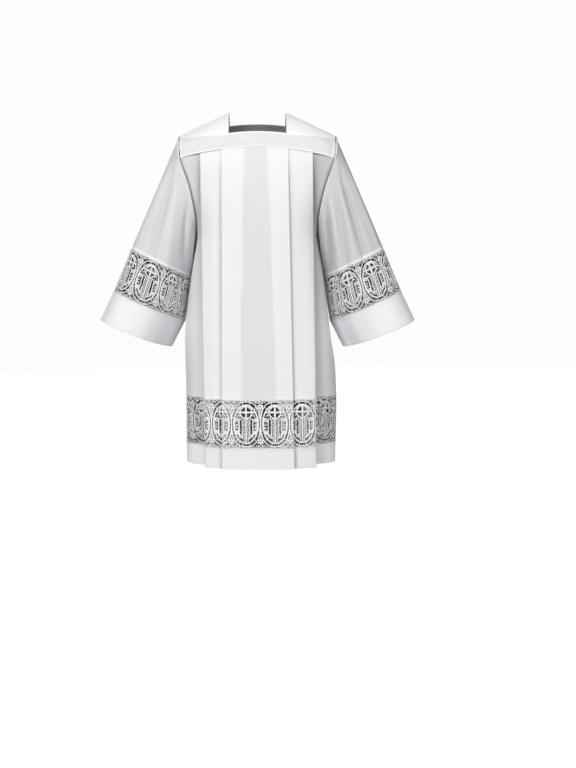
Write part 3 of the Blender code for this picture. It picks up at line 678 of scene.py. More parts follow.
def medallion():
    """The cords of one repeat, in millimetres about its middle."""
    strokes = []

    def cord(path, width, height=1.0, closed=False, tapered=False):
        strokes.append(Stroke(np.asarray(path, float), width, height, closed, tapered))

    def both(path, width, height=1.0, closed=False, tapered=False):
        for side in (1, -1):
            cord(np.asarray(path, float) * (side, 1), width, height, closed, tapered)

    cord(ellipse(0, 0, *OVAL)[:-1], OVAL_CORD, 1.4, closed=True)
    cord(ellipse(0, 0, *OUTER_OVAL, squareness=OUTER_SQUARENESS)[:-1], OUTER_CORD, 1.3, closed=True)
    for angle in (18, 48, 75, -18, -48, -75):
        direction = np.array([math.cos(math.radians(angle)), math.sin(math.radians(angle))])
        both([direction * OVAL, direction * OUTER_OVAL * 1.03], 1.8)

    cord(ellipse(0, CROSS_V, RING_RADIUS, RING_RADIUS)[:-1], 4.2, 1.4, closed=True)
    reach = OVAL[0] * math.sqrt(1 - (CROSS_V / OVAL[1]) ** 2)
    both(between((0, CROSS_V), (RING_RADIUS, CROSS_V)), 5.6, 1.7)
    both(between((RING_RADIUS, CROSS_V), (reach, CROSS_V)), 4.6, 1.5)
    cord(between((0, CROSS_V - RING_RADIUS), (0, OVAL[1])), 5.6, 1.7)
    both(ellipse(RING_RADIUS * 0.62, CROSS_V + RING_RADIUS * 0.62, 1.4, 1.4)[:-1], 1.6, 1.5, closed=True)

    top = CROSS_V - RING_RADIUS
    cord(between((0, top), (0, -OVAL[1])), 4.2, 1.6)
    both(between((4.9, top - 0.6), (4.9, foot_line(4.9))), 1.8, 1.3)
    both(between((9.4, top - 4.0), (9.4, foot_line(9.4) + FOOT_RISE)), 2.8, 1.4)
    for v in np.arange(10.0, -38.0, -6.0):
        both([(0.8, v), (4.6, v + 3.0), (9.0, v)], 0.9, 0.8)
    slot = [(9.4, SLOT_V[1] - 1), (11.5, 13.6), (15.0, 13.6), (17.3, SLOT_V[1] - 2)]
    both(between(*slot, (17.3, SLOT_V[0] + 2), (15.0, -27.6), (11.5, -27.6), (9.4, SLOT_V[0] + 1)), 3.2, 1.5)

    foot_u = np.linspace(FOOT_U[0] - 0.8, FOOT_U[1] + 0.8, 9)
    both(np.column_stack([foot_u, foot_line(foot_u) + FOOT_RISE + 1.4]), 3.2, 1.4)
    for u in (FOOT_U[0] - 0.8, FOOT_U[1] + 0.8):
        both([(u, foot_line(u)), (u, foot_line(u) + FOOT_RISE + 1.1)], 2.4, 1.3)

    def volute(u, v, size, way):
        turns = np.linspace(1, 0, 15)
        curl, radius = way * np.radians(470) * turns, size * (1 - 0.66 * turns)
        return np.column_stack([u + radius * np.cos(curl), v + radius * np.sin(curl)])

    stem = [(29.3, 2.0), (29.4, -5.5), (28.4, -13.0)]
    both(np.vstack([volute(*VOLUTES[0], 1), stem, volute(*VOLUTES[1], -1)[::-1]]), 3.4, 1.5)
    for path, width, height in LEAVES:
        both(path, width, height, tapered=True)

    for up in (1, -1):
        middle = np.array([HALF_REPEAT, up * 43.8])
        for angle in np.radians(np.arange(30, 390, 60)):
            ray = np.array([math.cos(angle), math.sin(angle)])
            cord([middle + ray * r for r in (1.8, 4.0, 6.6, 8.8)], 6.2, 1.6, tapered=True)
        cord((middle + ellipse(0, 0, 1.5, 1.5, 0, 360))[:-1], 1.7, 1.9, closed=True)
        cord([(HALF_REPEAT, up * v) for v in (35.6, 26.0, 17.0)], 1.2)
        for reach, start, stop in ((6.6, 35.0, 29.4), (4.6, 28.6, 23.2)):
            for side in (1, -1):
                tip = (HALF_REPEAT + side * reach, up * stop)
                bend = (HALF_REPEAT + side * reach * 0.7, up * (start + stop - 0.6) / 2)
                cord([(HALF_REPEAT, up * start), bend, tip], 3.8, 1.4, tapered=True)
        cord([(HALF_REPEAT, up * v) for v in (21.0, 17.5, 13.0)], 2.8, 1.4, tapered=True)
        both([(27.4, up * 55.4), (24.6, up * 53.4)], 2.4, 1.4)
        both([(33.4, up * 52.0), (30.0, up * 56.6)], 3.6, 1.4, tapered=True)
        cord(between((-HALF_REPEAT, up * 60.3), (HALF_REPEAT, up * 60.3)), 2.3, 1.0)
        for k in range(SCALLOPS):
            u = HALF_REPEAT * ((2 * k + 1) / SCALLOPS - 1)
            cord(ellipse(u, up * SCALLOP_V, 3.5, up * -3.2, 0, 180), 1.5, 1.1)
    cord(ellipse(HALF_REPEAT, 0, 0.8, 4.4)[:-1], 1.8, 1.6, closed=True)
    return strokes


def open_work(u, v):
    """True inside the gaps of one repeat, where no net is worked."""
    a, rim = np.abs(u), np.abs(v)

    def in_oval(u, v, half_width, half_height, power=2.0):
        return (u / half_width) ** power + (v / half_height) ** power < 1

    def in_outer_oval(margin):
        return in_oval(a, rim, OUTER_OVAL[0] + margin, OUTER_OVAL[1] + margin, OUTER_SQUARENESS)

    found = ~in_oval(a, v, OVAL[0] + 1.8, OVAL[1] + 1.8) & in_outer_oval(-1.2)
    found |= np.hypot(a, v - CROSS_V) < CROSS_HOLE
    found |= (a > SLOT_U[0]) & (a < SLOT_U[1]) & (v > SLOT_V[0]) & (v < SLOT_V[1])
    low = foot_line(np.minimum(a, FOOT_U[1]))
    found |= (a > FOOT_U[0]) & (a < FOOT_U[1]) & (v > low) & (v < low + FOOT_RISE)
    for middle_u, middle_v, radius in VOLUTES:
        found |= np.hypot(a - middle_u, v - middle_v) < radius * 0.62
    found |= in_oval(a - 22.4, v + 5.6, 4.0, 6.6) | in_oval(a - 21.0, v - 25.0, 3.4, 2.4)
    found |= ~in_outer_oval(1.3) & (rim < 57.2) & (a < 33.5) & (rim > 45.0)
    scallop = ((u / HALF_REPEAT + 1) * SCALLOPS / 2 % 1 - 0.5) * 2 * HALF_REPEAT / SCALLOPS
    return found | in_oval(scallop, rim - SCALLOP_V, 3.0, 3.0) | (rim > EDGE_V)


def runs(kept):
    """Where each run of true values starts and stops."""
    return np.flatnonzero(np.diff(np.concatenate([[0], kept.astype(int), [0]]))).reshape(-1, 2)


def net_threads(gaps=True):
    """The threads of the net in one repeat, as straight runs between its gaps or right across them."""
    pitch = 2 * HALF_REPEAT / NET_STEPS
    along = np.arange(-60.0, 60.0, THREAD_STEP)
    longest = LONGEST_THREAD if gaps else LONGEST_CLOSE_THREAD
    threads = []
    for slope in (1, -1):
        for k in range(-2 * NET_STEPS, 2 * NET_STEPS + 1):
            u, v = (k + 0.5) * pitch + slope * along, along
            kept = (np.abs(u) <= HALF_REPEAT) & ~(open_work(u, v) if gaps else np.abs(v) > EDGE_V)
            for start, stop in runs(kept):
                length = (stop - start) * THREAD_STEP * math.sqrt(2)
                if length < SHORTEST_THREAD - 0.1:
                    continue
                count = max(1, math.ceil(length / longest))
                at = np.linspace(start, stop - 1, count + 1).astype(int)
                threads.append((np.column_stack([u[at], v[at]]), slope))
    return threads


def sweep(path, width, height, sides, closed=False, tapered=False):
    """A cord along a flat path: its points as along, up and out, its sides and end faces, and each point's
    place on the cord."""
    count = len(path)
    ahead = np.roll(path, -1, axis=0) - np.roll(path, 1, axis=0)
    if not closed:
        ahead[0], ahead[-1] = path[1] - path[0], path[-1] - path[-2]
    ahead /= np.maximum(np.linalg.norm(ahead, axis=1, keepdims=True), 1e-9)
    aside = np.column_stack([-ahead[:, 1], ahead[:, 0]])
    swell = np.maximum(np.sin(np.pi * np.linspace(0, 1, count)), 0.0) ** 0.7
    swell = mix(TIP, 1, swell) if tapered else np.ones(count)
    angles = 2 * np.pi * (np.arange(sides) + 0.5) / sides
    flat = path[:, None] + aside[:, None] * (np.cos(angles) * width / 2)[None, :, None] * swell[:, None, None]
    out = np.sin(angles) * height / 2 * (1 + swell[:, None]) / 2
    points = np.concatenate([flat, out[..., None]], axis=2).reshape(-1, 3)
    ring = np.arange(sides)
    rows = np.arange(count if closed else count - 1)[:, None] * sides
    following, turned = (rows + sides) % (count * sides), (ring + 1) % sides
    quads = np.stack([rows + ring, following + ring, following + turned, rows + turned], axis=-1)
    caps = [] if closed else [ring.tolist(), (ring[::-1] + (count - 1) * sides).tolist()]
    place = np.stack(np.broadcast_arrays(run_along(path)[:, None], angles / (2 * np.pi)), axis=-1)
    return points, quads.reshape(-1, 4), caps, place.reshape(-1, 2)


def refined(path, folds):
    """A path with a point wherever it crosses a bend in the surface at a pressed fold."""
    made = [path[:1]]
    for a, b in zip(path, path[1:]):
        low, high = min(a[0], b[0]) + FOLD_MARGIN, max(a[0], b[0]) - FOLD_MARGIN
        crossed = folds[(folds > low) & (folds < high)]
        shares = np.sort((crossed - a[0]) / (b[0] - a[0])) if len(crossed) else crossed
        made.append(mix(a, b, np.append(shares, 1.0)[:, None]))
    return np.vstack(made)


def runs_inside(path, closed, length):
    """The parts of a path that lie on a band of that length, each with whether it is still closed."""
    inside = (path[:, 0] > END_MARGIN) & (path[:, 0] < length - END_MARGIN)
    if inside.all():
        return [(path, closed)]
    if not inside.any():
        return []
    if closed:
        first = int(np.flatnonzero(~inside)[0])
        path, inside = np.roll(path, -first, axis=0), np.roll(inside, -first)
    return [(path[start:stop], False) for start, stop in runs(inside) if stop - start > 1]


def runs_in_laps(path, laps, wanted):
    """The stretches of a path that lie in the hidden laps, or if not wanted those that lie outside them."""
    path = refined(path, laps.ravel())
    middle = (path[1:, 0] + path[:-1, 0]) / 2
    hidden = ((middle[:, None] > laps[:, 0]) & (middle[:, None] < laps[:, 1])).any(axis=1)
    return [path[start : stop + 1] for start, stop in runs(hidden == wanted)]


def lace_band(name, medallions, close, laps, stretch, length, folds, bend, turned, light, ends=True):
    """A band of lace, as cords and net bent round the garment. medallions, laps, length and folds are in
    millimetres along the flat band, and bend puts points of the flat band in their places. close is for each
    medallion the width of the closer net's threads, or 0 for the open net, which is closer in the laps too.
    turned gives, at places along the band, 1 where it is turned over between two folds, so that its inner
    side faces out and is left out of the painted shade of the inside, and light the painted light and shade
    along it. ends tells whether the band has two open ends."""
    points, quads, caps, places, shades, total = [], [], [], [], [], 0

    def add(path, width, height, sides=CORD_SIDES, closed=False, tapered=False, lift=0.0, shade=1.0):
        nonlocal total
        made, faces, ends_of, place = sweep(path, width, height, sides, closed, tapered)
        made[:, 2] += lift
        points.append(made)
        places.append(place)
        shades.append(np.full(len(made), shade))
        quads.append(faces + total)
        caps.extend([[k + total for k in cap] for cap in ends_of])
        total += len(made)

    def on_band(path, middle, closed=False):
        path = path * (stretch, 1) + (middle, 0)
        return runs_inside(path, closed, length) if ends else [(path, closed)]

    for middle, closer in zip(medallions, close):
        for stroke in REPEAT_CORDS:
            for path, closed in on_band(stroke.path, middle, stroke.closed):
                path = refined(path, folds)
                if len(path) > 1:
                    tapered = stroke.tapered and len(path) > 2
                    add(path, stroke.width, stroke.height, closed=closed, tapered=tapered)
        nets = [(REPEAT_NET, NET_THREAD, NET_TONE, False), (REPEAT_CLOSE_NET, LAP_THREAD, 1.0, True)]
        for net, width, shade, wanted in [(REPEAT_CLOSE_NET, closer, 1.0, False)] if closer else nets:
            for thread, slope in net:
                for run, _ in on_band(thread, middle):
                    for path in runs_in_laps(run, NO_LAPS if closer else laps, wanted):
                        lift = NET_LIFT * slope
                        add(refined(path, folds), width, NET_HEIGHT, THREAD_SIDES, lift=lift, shade=shade)
    if ends:
        for along in (END_INSET[0], length - END_INSET[0]):
            height = HALF_HEIGHT - END_INSET[1]
            add(between((along, -height), (along, height)), END_CORD, END_CORD)
    flat = np.vstack(points)
    mesh = bpy.data.meshes.new(name)
    mesh.from_pydata(bend(flat * MM).tolist(), [], np.vstack(quads).tolist() + caps)
    # Painted shade: the inner side of cords and threads is painted darker where the band is not turned over,
    # times the painted light along the band and the net's painted shade.
    inner = ease(-flat[:, 2], 0.0, 0.25) * (1 - np.interp(flat[:, 0], *turned))
    tone = np.interp(flat[:, 0], *light) * (1 - (1 - LACE_INSIDE_TONE) * inner) * np.concatenate(shades)
    mesh.attributes.new("tone", "FLOAT", "POINT").data.foreach_set("value", tone.astype(np.float32))
    places = np.vstack(places)
    corners = np.zeros(len(mesh.loops), np.int32)
    mesh.loops.foreach_get("vertex_index", corners)
    mesh.uv_layers.new(name="thread").data.foreach_set("uv", places[corners].astype(np.float32).ravel())
    mesh.polygons.foreach_set("use_smooth", np.ones(len(mesh.polygons), bool))
    return add_object(mesh, lace_cotton)


def bent_over(table, columns):
    """Puts points given as along, up and out on a surface, given as rows of points from foot to head."""
    normals = outward(table[::-1])[::-1]

    def bend(flat):
        at = np.clip(flat[:, 0], columns[0], columns[-1])
        column = np.clip(np.searchsorted(columns, at, side="right") - 1, 0, len(columns) - 2)
        share = ((at - columns[column]) / (columns[column + 1] - columns[column]))[:, None]
        level = np.clip((flat[:, 1] / MM + HALF_HEIGHT) / (2 * HALF_HEIGHT), 0, 1) * (len(table) - 1)
        row = np.clip(level.astype(int), 0, len(table) - 2)
        rise = (level - row)[:, None]

        def mixed(values):
            lower, upper = (mix(values[k, column], values[k, column + 1], share) for k in (row, row + 1))
            return mix(lower, upper, rise)

        return mixed(table) + mixed(normals) * flat[:, 2:]

    return bend


# Painted shade on the lace: its inner side, its parts beyond the outer pleats and a sleeve's lace are painted
# darker.
LACE_INSIDE_TONE, LACE_WHITE = 0.10, (0.97, 0.97, 0.97)
SIDE_LACE_TONE, SLEEVE_LACE_TONE = 0.82, 0.88
SHARP_BEND, HIDDEN_BY = 0.3, 0.0001  # a bend at a pressed fold, and how far cloth lies behind a pleat's edge
REPEAT_CORDS = medallion()
REPEAT_NET, REPEAT_CLOSE_NET = net_threads(), net_threads(gaps=False)
lace_cotton = paint("lace_cotton", {"Roughness": 0.7, "Specular IOR Level": 0.3, "Sheen Weight": 0.15})
tree = lace_cotton.node_tree
tone = add_node(tree, "Attribute", {}, attribute_name="tone").outputs["Fac"]
shaded = add_node(tree, "VectorMath", {0: LACE_WHITE, "Scale": tone}, operation="SCALE").outputs["Vector"]
place = add_node(tree, "UVMap", {}, uv_map="thread").outputs["UV"]
twist = {"Vector": place, "Scale": 0.45, "Distortion": 0.6}
twist = add_node(tree, "TexWave", twist, wave_type="BANDS", bands_direction="DIAGONAL").outputs["Fac"]
relief = add_node(tree, "Bump", {"Strength": 0.5, "Distance": 0.0003, "Height": twist}).outputs["Normal"]
set_inputs(tree.nodes["Principled BSDF"], {"Base Color": shaded, "Normal": relief})

for panel in FACING:
    heights = np.linspace(LACE_BOTTOM_Z + BAND_GAP, LACE_TOP_Z - BAND_GAP, BAND_ROWS)
    table = facing_out(panel, on_panel(panel, np.repeat(heights[:, None], layers[panel].shape[1], axis=1)))
    middle = table[len(table) // 2]
    columns = run_along(middle)
    onward = np.diff(middle, axis=0)[:, 0]
    bends = np.abs(np.diff(onward / np.diff(columns))) > SHARP_BEND
    folds = columns[1:-1][bends] / MM
    single = np.flatnonzero(np.abs(middle[:, 0] - LACE_MIDDLE_X[panel]) < 0.01)
    single = single[np.argmin(np.abs(single - len(middle) / 2))]
    sign = -FACING[panel]
    first = (columns[single] + sign * (LACE_MIDDLE_X[panel] - middle[single, 0])) / MM
    length = columns[-1] / MM
    repeat = LACE_REPEAT / MM
    medallions = [first + k * repeat for k in range(-8, 9)]
    medallions = [place for place in medallions if -repeat / 2 < place < length + repeat / 2]
    turned = ((columns[1:] + columns[:-1]) / 2 / MM, (onward * onward.sum() < 0).astype(float))
    # Painted shade on the lace beyond the outer pleats.
    outer = [p for p in PLEATS if p.panel == panel][1::2]
    at_side = sum(ease(middle[:, 0] * p.side, p.edge_hem - 0.001, p.edge_hem) for p in outer)
    light = (columns / MM, 1 - (1 - SIDE_LACE_TONE) * at_side)
    close = [CLOSE_BACK if panel == "back" else 0] * len(medallions)
    outwards = (middle[single:, 0] * sign, middle[: single + 1][::-1, 0] * -sign)
    beneath, beneath_right = (x < np.maximum.accumulate(x) - HIDDEN_BY for x in outwards)
    lapped = np.concatenate([beneath_right[:0:-1], beneath])
    laps = columns[np.minimum(runs(lapped), len(columns) - 1)] / MM
    name = f"lace_{panel}_work"
    bend = bent_over(table, columns)
    obj = lace_band(name, medallions, close, laps, 1.0, length, folds, bend, turned, light)
    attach(obj, "root")
    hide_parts("lace_" + panel)
    flat = (length * MM, 2 * HALF_HEIGHT * MM)

# Hem: a band of the same white cloth below the lace, folded double, so that its lower edge is a plain fold.
HEM_WALL, HEM_BEVEL, HEM_ROWS, HEM_SHARE = 0.0011, 0.0003, 9, 0.996
for panel in FACING:
    height = LACE_BOTTOM_Z - HEM_Z
    distances = sheet_rows(height, HEM_ROWS)[:, None]
    z = np.repeat(LACE_BOTTOM_Z - LACE_GAP - distances * HEM_SHARE, layers[panel].shape[1], axis=1)
    points = on_panel(panel, z)
    # The hem's painted light and shade: painted shade and highlights beside the pleats' edges, and its sides
    # painted lighter.
    tone = np.array([panel_tone(panel, row[:, 0], row[0, 2], single=False) for row in points])
    points = facing_out(panel, points)
    points = points + outward(points) * edge_lift(distances)[..., None]
    obj = grid_sheet(f"hem_{panel}_cloth", points, HEM_WALL, tone=facing_out(panel, tone), bevel=HEM_BEVEL)
    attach(obj, "root")
    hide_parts("hem_" + panel)
    seams["hem_" + panel] = on_surface(points, TOP_STITCHES, HEM_WALL)
    row_lengths(points).max()

# Yoke: a square yoke of the same cloth laid double, whose bands are sewn to the pleated front and back and to
# a strap over each shoulder. It leaves a square neckline, turned in and stitched near its edge.
NECKLINE = {"front": -0.061, "back": -0.030}
NECKLINE_RISE = 0.005
NECK_HALF_WIDTH, SHOULDER_HALF_WIDTH = 0.075, 0.205
SHOULDER_DROP, SHOULDER_ROUNDNESS = 0.062, 1.8
STRAP_SEAM_END_Z, NEAR_ARMHOLE = -0.070, 0.030
YOKE_WALL, YOKE_BEVEL = 0.0022, 0.0005
YOKE_DENSE, YOKE_MIDDLE_ROWS = 60, 16
YOKE_GROOVE = 0.00045  # how deep a double band is pulled in along its stitches
# Painted light: the yoke is painted darker and the straps lighter, with a painted highlight along the turned
# rims.
YOKE_TONE, STRAP_TONE, YOKE_RIM_TONE = 0.90, 1.04, 1.08
NECK_RIM = (1.0, 1.0, 1.0, 0.9, 0.5)  # how much of the rims' painted highlight a strap's columns beside the neck have
CREASE_TONE = 36.0  # painted light and shade: how much lighter a crease is painted for each metre that it stands out
YOKE_CREASES = (  # x and z at both ends, half width and rise
    (0.088, -0.020, 0.186, -0.062, 0.0050, 0.0013),
    (0.100, -0.006, 0.180, -0.040, 0.0060, -0.0011),
    (0.150, -0.078, 0.196, -0.108, 0.0060, 0.0010),
    (-0.092, -0.016, -0.150, -0.048, 0.0060, 0.0009),
    (-0.165, -0.084, -0.196, -0.104, 0.0070, 0.0010),
    (-0.050, -0.072, 0.010, -0.090, 0.0090, 0.0007),
    (0.040, -0.088, 0.100, -0.076, 0.0080, -0.0007),
)


def shoulder_line_z(x):
    """Height of the ridge over the shoulder."""
    return -SHOULDER_DROP * max(0.0, abs(x) - NECK_HALF_WIDTH) / (SHOULDER_HALF_WIDTH - NECK_HALF_WIDTH)


def yoke_top_z(x, neckline):
    """Upper edge of a yoke band: the neckline, then the seam to the strap."""
    if abs(x) <= NECK_HALF_WIDTH:
        return neckline + NECKLINE_RISE * (1 - (x / NECK_HALF_WIDTH) ** 2)
    share = (abs(x) - NECK_HALF_WIDTH) / (SHOULDER_HALF_WIDTH - NECK_HALF_WIDTH)
    return mix(neckline, STRAP_SEAM_END_Z, share)


def shoulder_width(side, z):
    """Half width of the yoke at its armhole edge."""
    seam_z = float(yoke_seam_z(SHOULDER_HALF_WIDTH))
    share = min(1.0, (z + SHOULDER_DROP) / (seam_z + SHOULDER_DROP))
    return mix(SHOULDER_HALF_WIDTH, half_width_at(side, seam_z), share)


def seam_angle(x, neckline):
    """Angle at which yoke and strap are sewn on the curve over the shoulder, 0 at the panel and 90 on top."""
    low = float(yoke_seam_z(x))
    share = (yoke_top_z(x, neckline) - low) / (shoulder_line_z(x) - low)
    return math.asin(share ** (SHOULDER_ROUNDNESS / 2))


def over_shoulder(x, angle, facing):
    """A point at an angle on the curve over the shoulder. The armhole's edge keeps to the armhole's line."""
    low = float(yoke_seam_z(x))
    z = mix(low, shoulder_line_z(x), math.sin(angle) ** (2 / SHOULDER_ROUNDNESS))
    middle_depth = down_the_body("front" if facing < 0 else "back", low)
    depth = bow(x, half_width_at(x, low), middle_depth, armhole_depth(low), BODY_ROUNDNESS)
    share = min(1.0, max(0.0, (z - low) / (shoulder_line_z(x) - low)))
    y = facing * depth * (1 - share**SHOULDER_ROUNDNESS) ** (1 / SHOULDER_ROUNDNESS)
    near_edge = ease(abs(x), SHOULDER_HALF_WIDTH - NEAR_ARMHOLE, SHOULDER_HALF_WIDTH)
    wider = shoulder_width(x, z) - SHOULDER_HALF_WIDTH
    return np.array([x + wider * math.copysign(1, x) * near_edge, y, z])


def along_curves(curves):
    """Rows of points along curves, one curve to a column."""
    lengths = [run_along(curve) for curve in curves]
    places = [sheet_rows(along[-1], YOKE_MIDDLE_ROWS) for along in lengths]
    return np.stack([at_lengths(*column) for column in zip(places, lengths, curves)], axis=1)


def crease_rise(points):
    """How far the soft creases of the yoke stand out."""
    total = np.zeros(points.shape[:2])
    for x0, z0, x1, z1, width, rise in YOKE_CREASES:
        run = np.array([x1 - x0, z1 - z0])
        length = np.linalg.norm(run)
        share = ((points[..., 0] - x0) * run[0] + (points[..., 2] - z0) * run[1]) / length**2
        away = ((points[..., 0] - x0) * run[1] - (points[..., 2] - z0) * run[0]) / length
        fade = ease(share, -0.1, 0.2) * (1 - ease(share, 0.8, 1.1))
        total += rise * fade * bell(away, width) * (points[..., 1] < 0.03)
    return total


def double_band(curves, facing_in):
    """Points of a double band laid along curves, creased, and pulled in along its stitched rows."""
    points = along_curves(curves)[::-1]
    points = points[:, ::-1] if facing_in else points
    lift = crease_rise(points)
    lift[[TOP_STITCHES, FOOT_STITCHES]] -= YOKE_GROOVE
    return points + outward(points) * lift[..., None]


def band_size(points):
    """The width of a double band along its middle row, and the height of each of its columns."""
    return row_lengths(points)[len(points) // 2], row_lengths(points.swapaxes(0, 1))


def band_tone(points, base, neck_columns=()):
    """The painted light of a double band: a painted highlight along its turned edges, and painted light
    and shade over its creases.
    """
    down = np.concatenate([[0], np.cumsum(np.linalg.norm(np.diff(points, axis=0), axis=2).mean(axis=1))])
    from_edge = np.minimum(down, down[-1] - down)[:, None]
    tone = mix(base, YOKE_RIM_TONE, 1 - ease(from_edge, 0.0030, 0.0060))
    tone = np.repeat(tone, points.shape[1], axis=1) + CREASE_TONE * crease_rise(points)
    for column, share in neck_columns:
        tone[:, column] = mix(tone[:, column], YOKE_RIM_TONE, share)
    return tone


strap_xs = mix(NECK_HALF_WIDTH, SHOULDER_HALF_WIDTH, np.linspace(0, 1, 27))
fine_edge = np.array([0.0, 0.0010, 0.0020, 0.0030, 0.0042])
strap_xs = np.unique(np.concatenate([NECK_HALF_WIDTH + fine_edge, strap_xs, SHOULDER_HALF_WIDTH - fine_edge]))
inner_xs = np.linspace(-NECK_HALF_WIDTH, NECK_HALF_WIDTH, 31)[1:-1]
yoke_xs = np.concatenate([-strap_xs[::-1], inner_xs, strap_xs])

for panel, facing in FACING.items():
    curves = []
    for x in yoke_xs:
        angles = np.linspace(0, seam_angle(x, NECKLINE[panel]), YOKE_DENSE)
        curves.append(np.array([over_shoulder(x, angle, facing) for angle in angles]))
    points = double_band(curves, facing > 0)
    tone = band_tone(points, YOKE_TONE)
    obj = grid_sheet(f"yoke_{panel}_cloth", points, YOKE_WALL, tone=tone, bevel=YOKE_BEVEL)
    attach(obj, "root")
    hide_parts("yoke_" + panel)
    seams["yoke_foot_" + panel] = on_surface(points, FOOT_STITCHES, YOKE_WALL)
    seams["neckline_" + panel] = on_surface(points, TOP_STITCHES, YOKE_WALL)
    width, height = band_size(points)

for side_name, side in SIDES.items():
    curves = []
    for x in strap_xs:
        front, back = seam_angle(x, NECKLINE["front"]), seam_angle(x, NECKLINE["back"])
        over = [over_shoulder(side * x, a, -1) for a in np.linspace(front, math.pi / 2, YOKE_DENSE)]
        over += [over_shoulder(side * x, a, +1) for a in np.linspace(math.pi / 2, back, YOKE_DENSE)[1:]]
        curves.append(np.array(over))
    points = double_band(curves, side < 0)
    rim = [(k if side > 0 else -1 - k, share) for k, share in enumerate(NECK_RIM)]
    tone = band_tone(points, STRAP_TONE, rim)
    obj = grid_sheet(f"shoulder_strap_{side_name}_cloth", points, YOKE_WALL, tone=tone, bevel=YOKE_BEVEL)
    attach(obj, "root")
    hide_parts("shoulder_strap_" + side_name)
    seams["strap_front_" + side_name] = on_surface(points, FOOT_STITCHES, YOKE_WALL)
    seams["strap_back_" + side_name] = on_surface(points, TOP_STITCHES, YOKE_WALL)
    neck_column = TOP_STITCHES if side > 0 else FOOT_STITCHES
    normals = outward(points)[:, neck_column]
    seams["strap_neck_" + side_name] = (points[:, neck_column] + normals * (YOKE_WALL / 2), normals)
    width, height = band_size(points)
    area = width * height.mean()

# Sleeves: wide straight-cut tubes of single cloth, sewn into the armholes. The seam's turnings lie towards
# the sleeve and lift it in a narrow welt; below it the cloth falls in soft folds that lace and cuff even out.
Ring = namedtuple("Ring", "outer_x outer_z inner_x inner_z front back")
SLEEVE_RINGS = (
    Ring(0.332, -0.358, 0.1765, -0.434, 0.100, 0.098),
    Ring(0.378, -0.469, 0.194, -0.551, 0.106, 0.103),
    Ring(0.414, -0.546, 0.229, -0.620, 0.108, 0.105),
)
SET_BACK = 0.045  # a sleeve's inner edge hangs a little behind the side of the body
RING_ROUNDNESS = 2.3
SLEEVE_WALL, SLEEVE_GAP = 0.0008, 0.0015
# The cuff is painted a little lighter by CUFF_TONE, as painted light.
CUFF_WALL, CUFF_BEVEL, CUFF_TONE = 0.0011, 0.0003, 1.03
SLEEVE_COLUMNS, SLEEVE_STEPS, CUFF_STEPS = 132, 44, 14
WELT_ROWS, WELT_STITCHES = (0.0, 0.0009, 0.0020, 0.0032, 0.0044, 0.0056, 0.0068, 0.0078), 7
WELT_WIDTH, WELT_HEIGHT = 0.0070, 0.0024
MEDALLION_AT = {"right": 0.230, "left": 0.197}  # share of the way round at which one of the medallions is
# Painted light and shade of a sleeve: darker overall and more so on the left, darker in the hollows of its
# folds and lighter on their ridges, with a painted highlight on the welt and on the turned edge.
SLEEVE_TONES = {"right": 0.83, "left": 0.73}
SLEEVE_EDGE_TONE, FOLD_TONE = 1.04, 7.5
ARMHOLE_GAP, LOWER_GAP = (0.0010, 0.0019), (-0.16, -0.12)  # gap to the body low and high, between heights
TURNED_EDGE = (0.0038, 0.0052)  # where the painted highlight on the turned edge beside the lace ends
WELT_RISES, WELT_FALLS = (0.0006, 0.0020), (0.0056, 0.0080)  # between these the welt has a painted highlight
UNDERARM, ON_TOP = (0.55, 0.95), (0.03, 0.12)  # shares of the way round where these parts start and stop

# Soft folds of a sleeve: their places round it at the armhole and at the lace, 0 outside, 0.25 in front and
# 0.5 underarm, half their width as a share of the way round, their height, and what is left at the cuff.
Fold = namedtuple("Fold", "top low width height at_cuff")
SLEEVE_FOLDS = {
    "right": [
        Fold(0.08, 0.10, 0.028, 0.005, 0.1),
        Fold(0.135, 0.210, 0.026, -0.010, 0.1),
        Fold(0.20, 0.28, 0.028, 0.006, 0.2),
        Fold(0.285, 0.385, 0.024, -0.009, 0.2),
        Fold(0.40, 0.45, 0.016, 0.004, 0.2),
        Fold(0.62, 0.61, 0.026, -0.007, 0.2),
        Fold(0.71, 0.71, 0.028, 0.006, 0.2),
        Fold(0.82, 0.83, 0.026, -0.007, 0.1),
    ],
    "left": [
        Fold(0.09, 0.10, 0.024, 0.006, 0.1),
        Fold(0.145, 0.205, 0.019, -0.013, 0.1),
        Fold(0.185, 0.255, 0.012, 0.005, 0.1),
        Fold(0.215, 0.290, 0.012, -0.006, 0.1),
        Fold(0.25, 0.33, 0.020, 0.008, 0.2),
        Fold(0.30, 0.390, 0.019, -0.011, 0.2),
        Fold(0.41, 0.455, 0.015, 0.004, 0.2),
        Fold(0.63, 0.62, 0.026, -0.007, 0.2),
        Fold(0.72, 0.71, 0.028, 0.006, 0.2),
        Fold(0.81, 0.82, 0.026, -0.007, 0.1),
    ],
}


def armhole_edge(side, facing):
    """Dense points down the edge of an armhole, from the shoulder to the underarm."""
    seam = float(yoke_seam_z(SHOULDER_HALF_WIDTH))
    points = []
    for angle in np.linspace(math.pi / 2, 0, 61)[:-1]:
        share = math.sin(angle) ** (2 / SHOULDER_ROUNDNESS)
        z = mix(seam, -SHOULDER_DROP, share)
        depth = armhole_depth(seam) * max(0.0, 1 - share**SHOULDER_ROUNDNESS) ** (1 / SHOULDER_ROUNDNESS)
        points.append((side * shoulder_width(side, z), facing * depth, z))
    below = mix(ARMHOLE_WIDEST_Z, UNDERARM_Z, np.sin(np.linspace(0, math.pi / 2, 41)))
    for z in (*np.linspace(seam, ARMHOLE_WIDEST_Z, 31)[:-1], *below):
        points.append((side * half_width_at(side, z), facing * armhole_depth(z), z))
    return np.array(points)


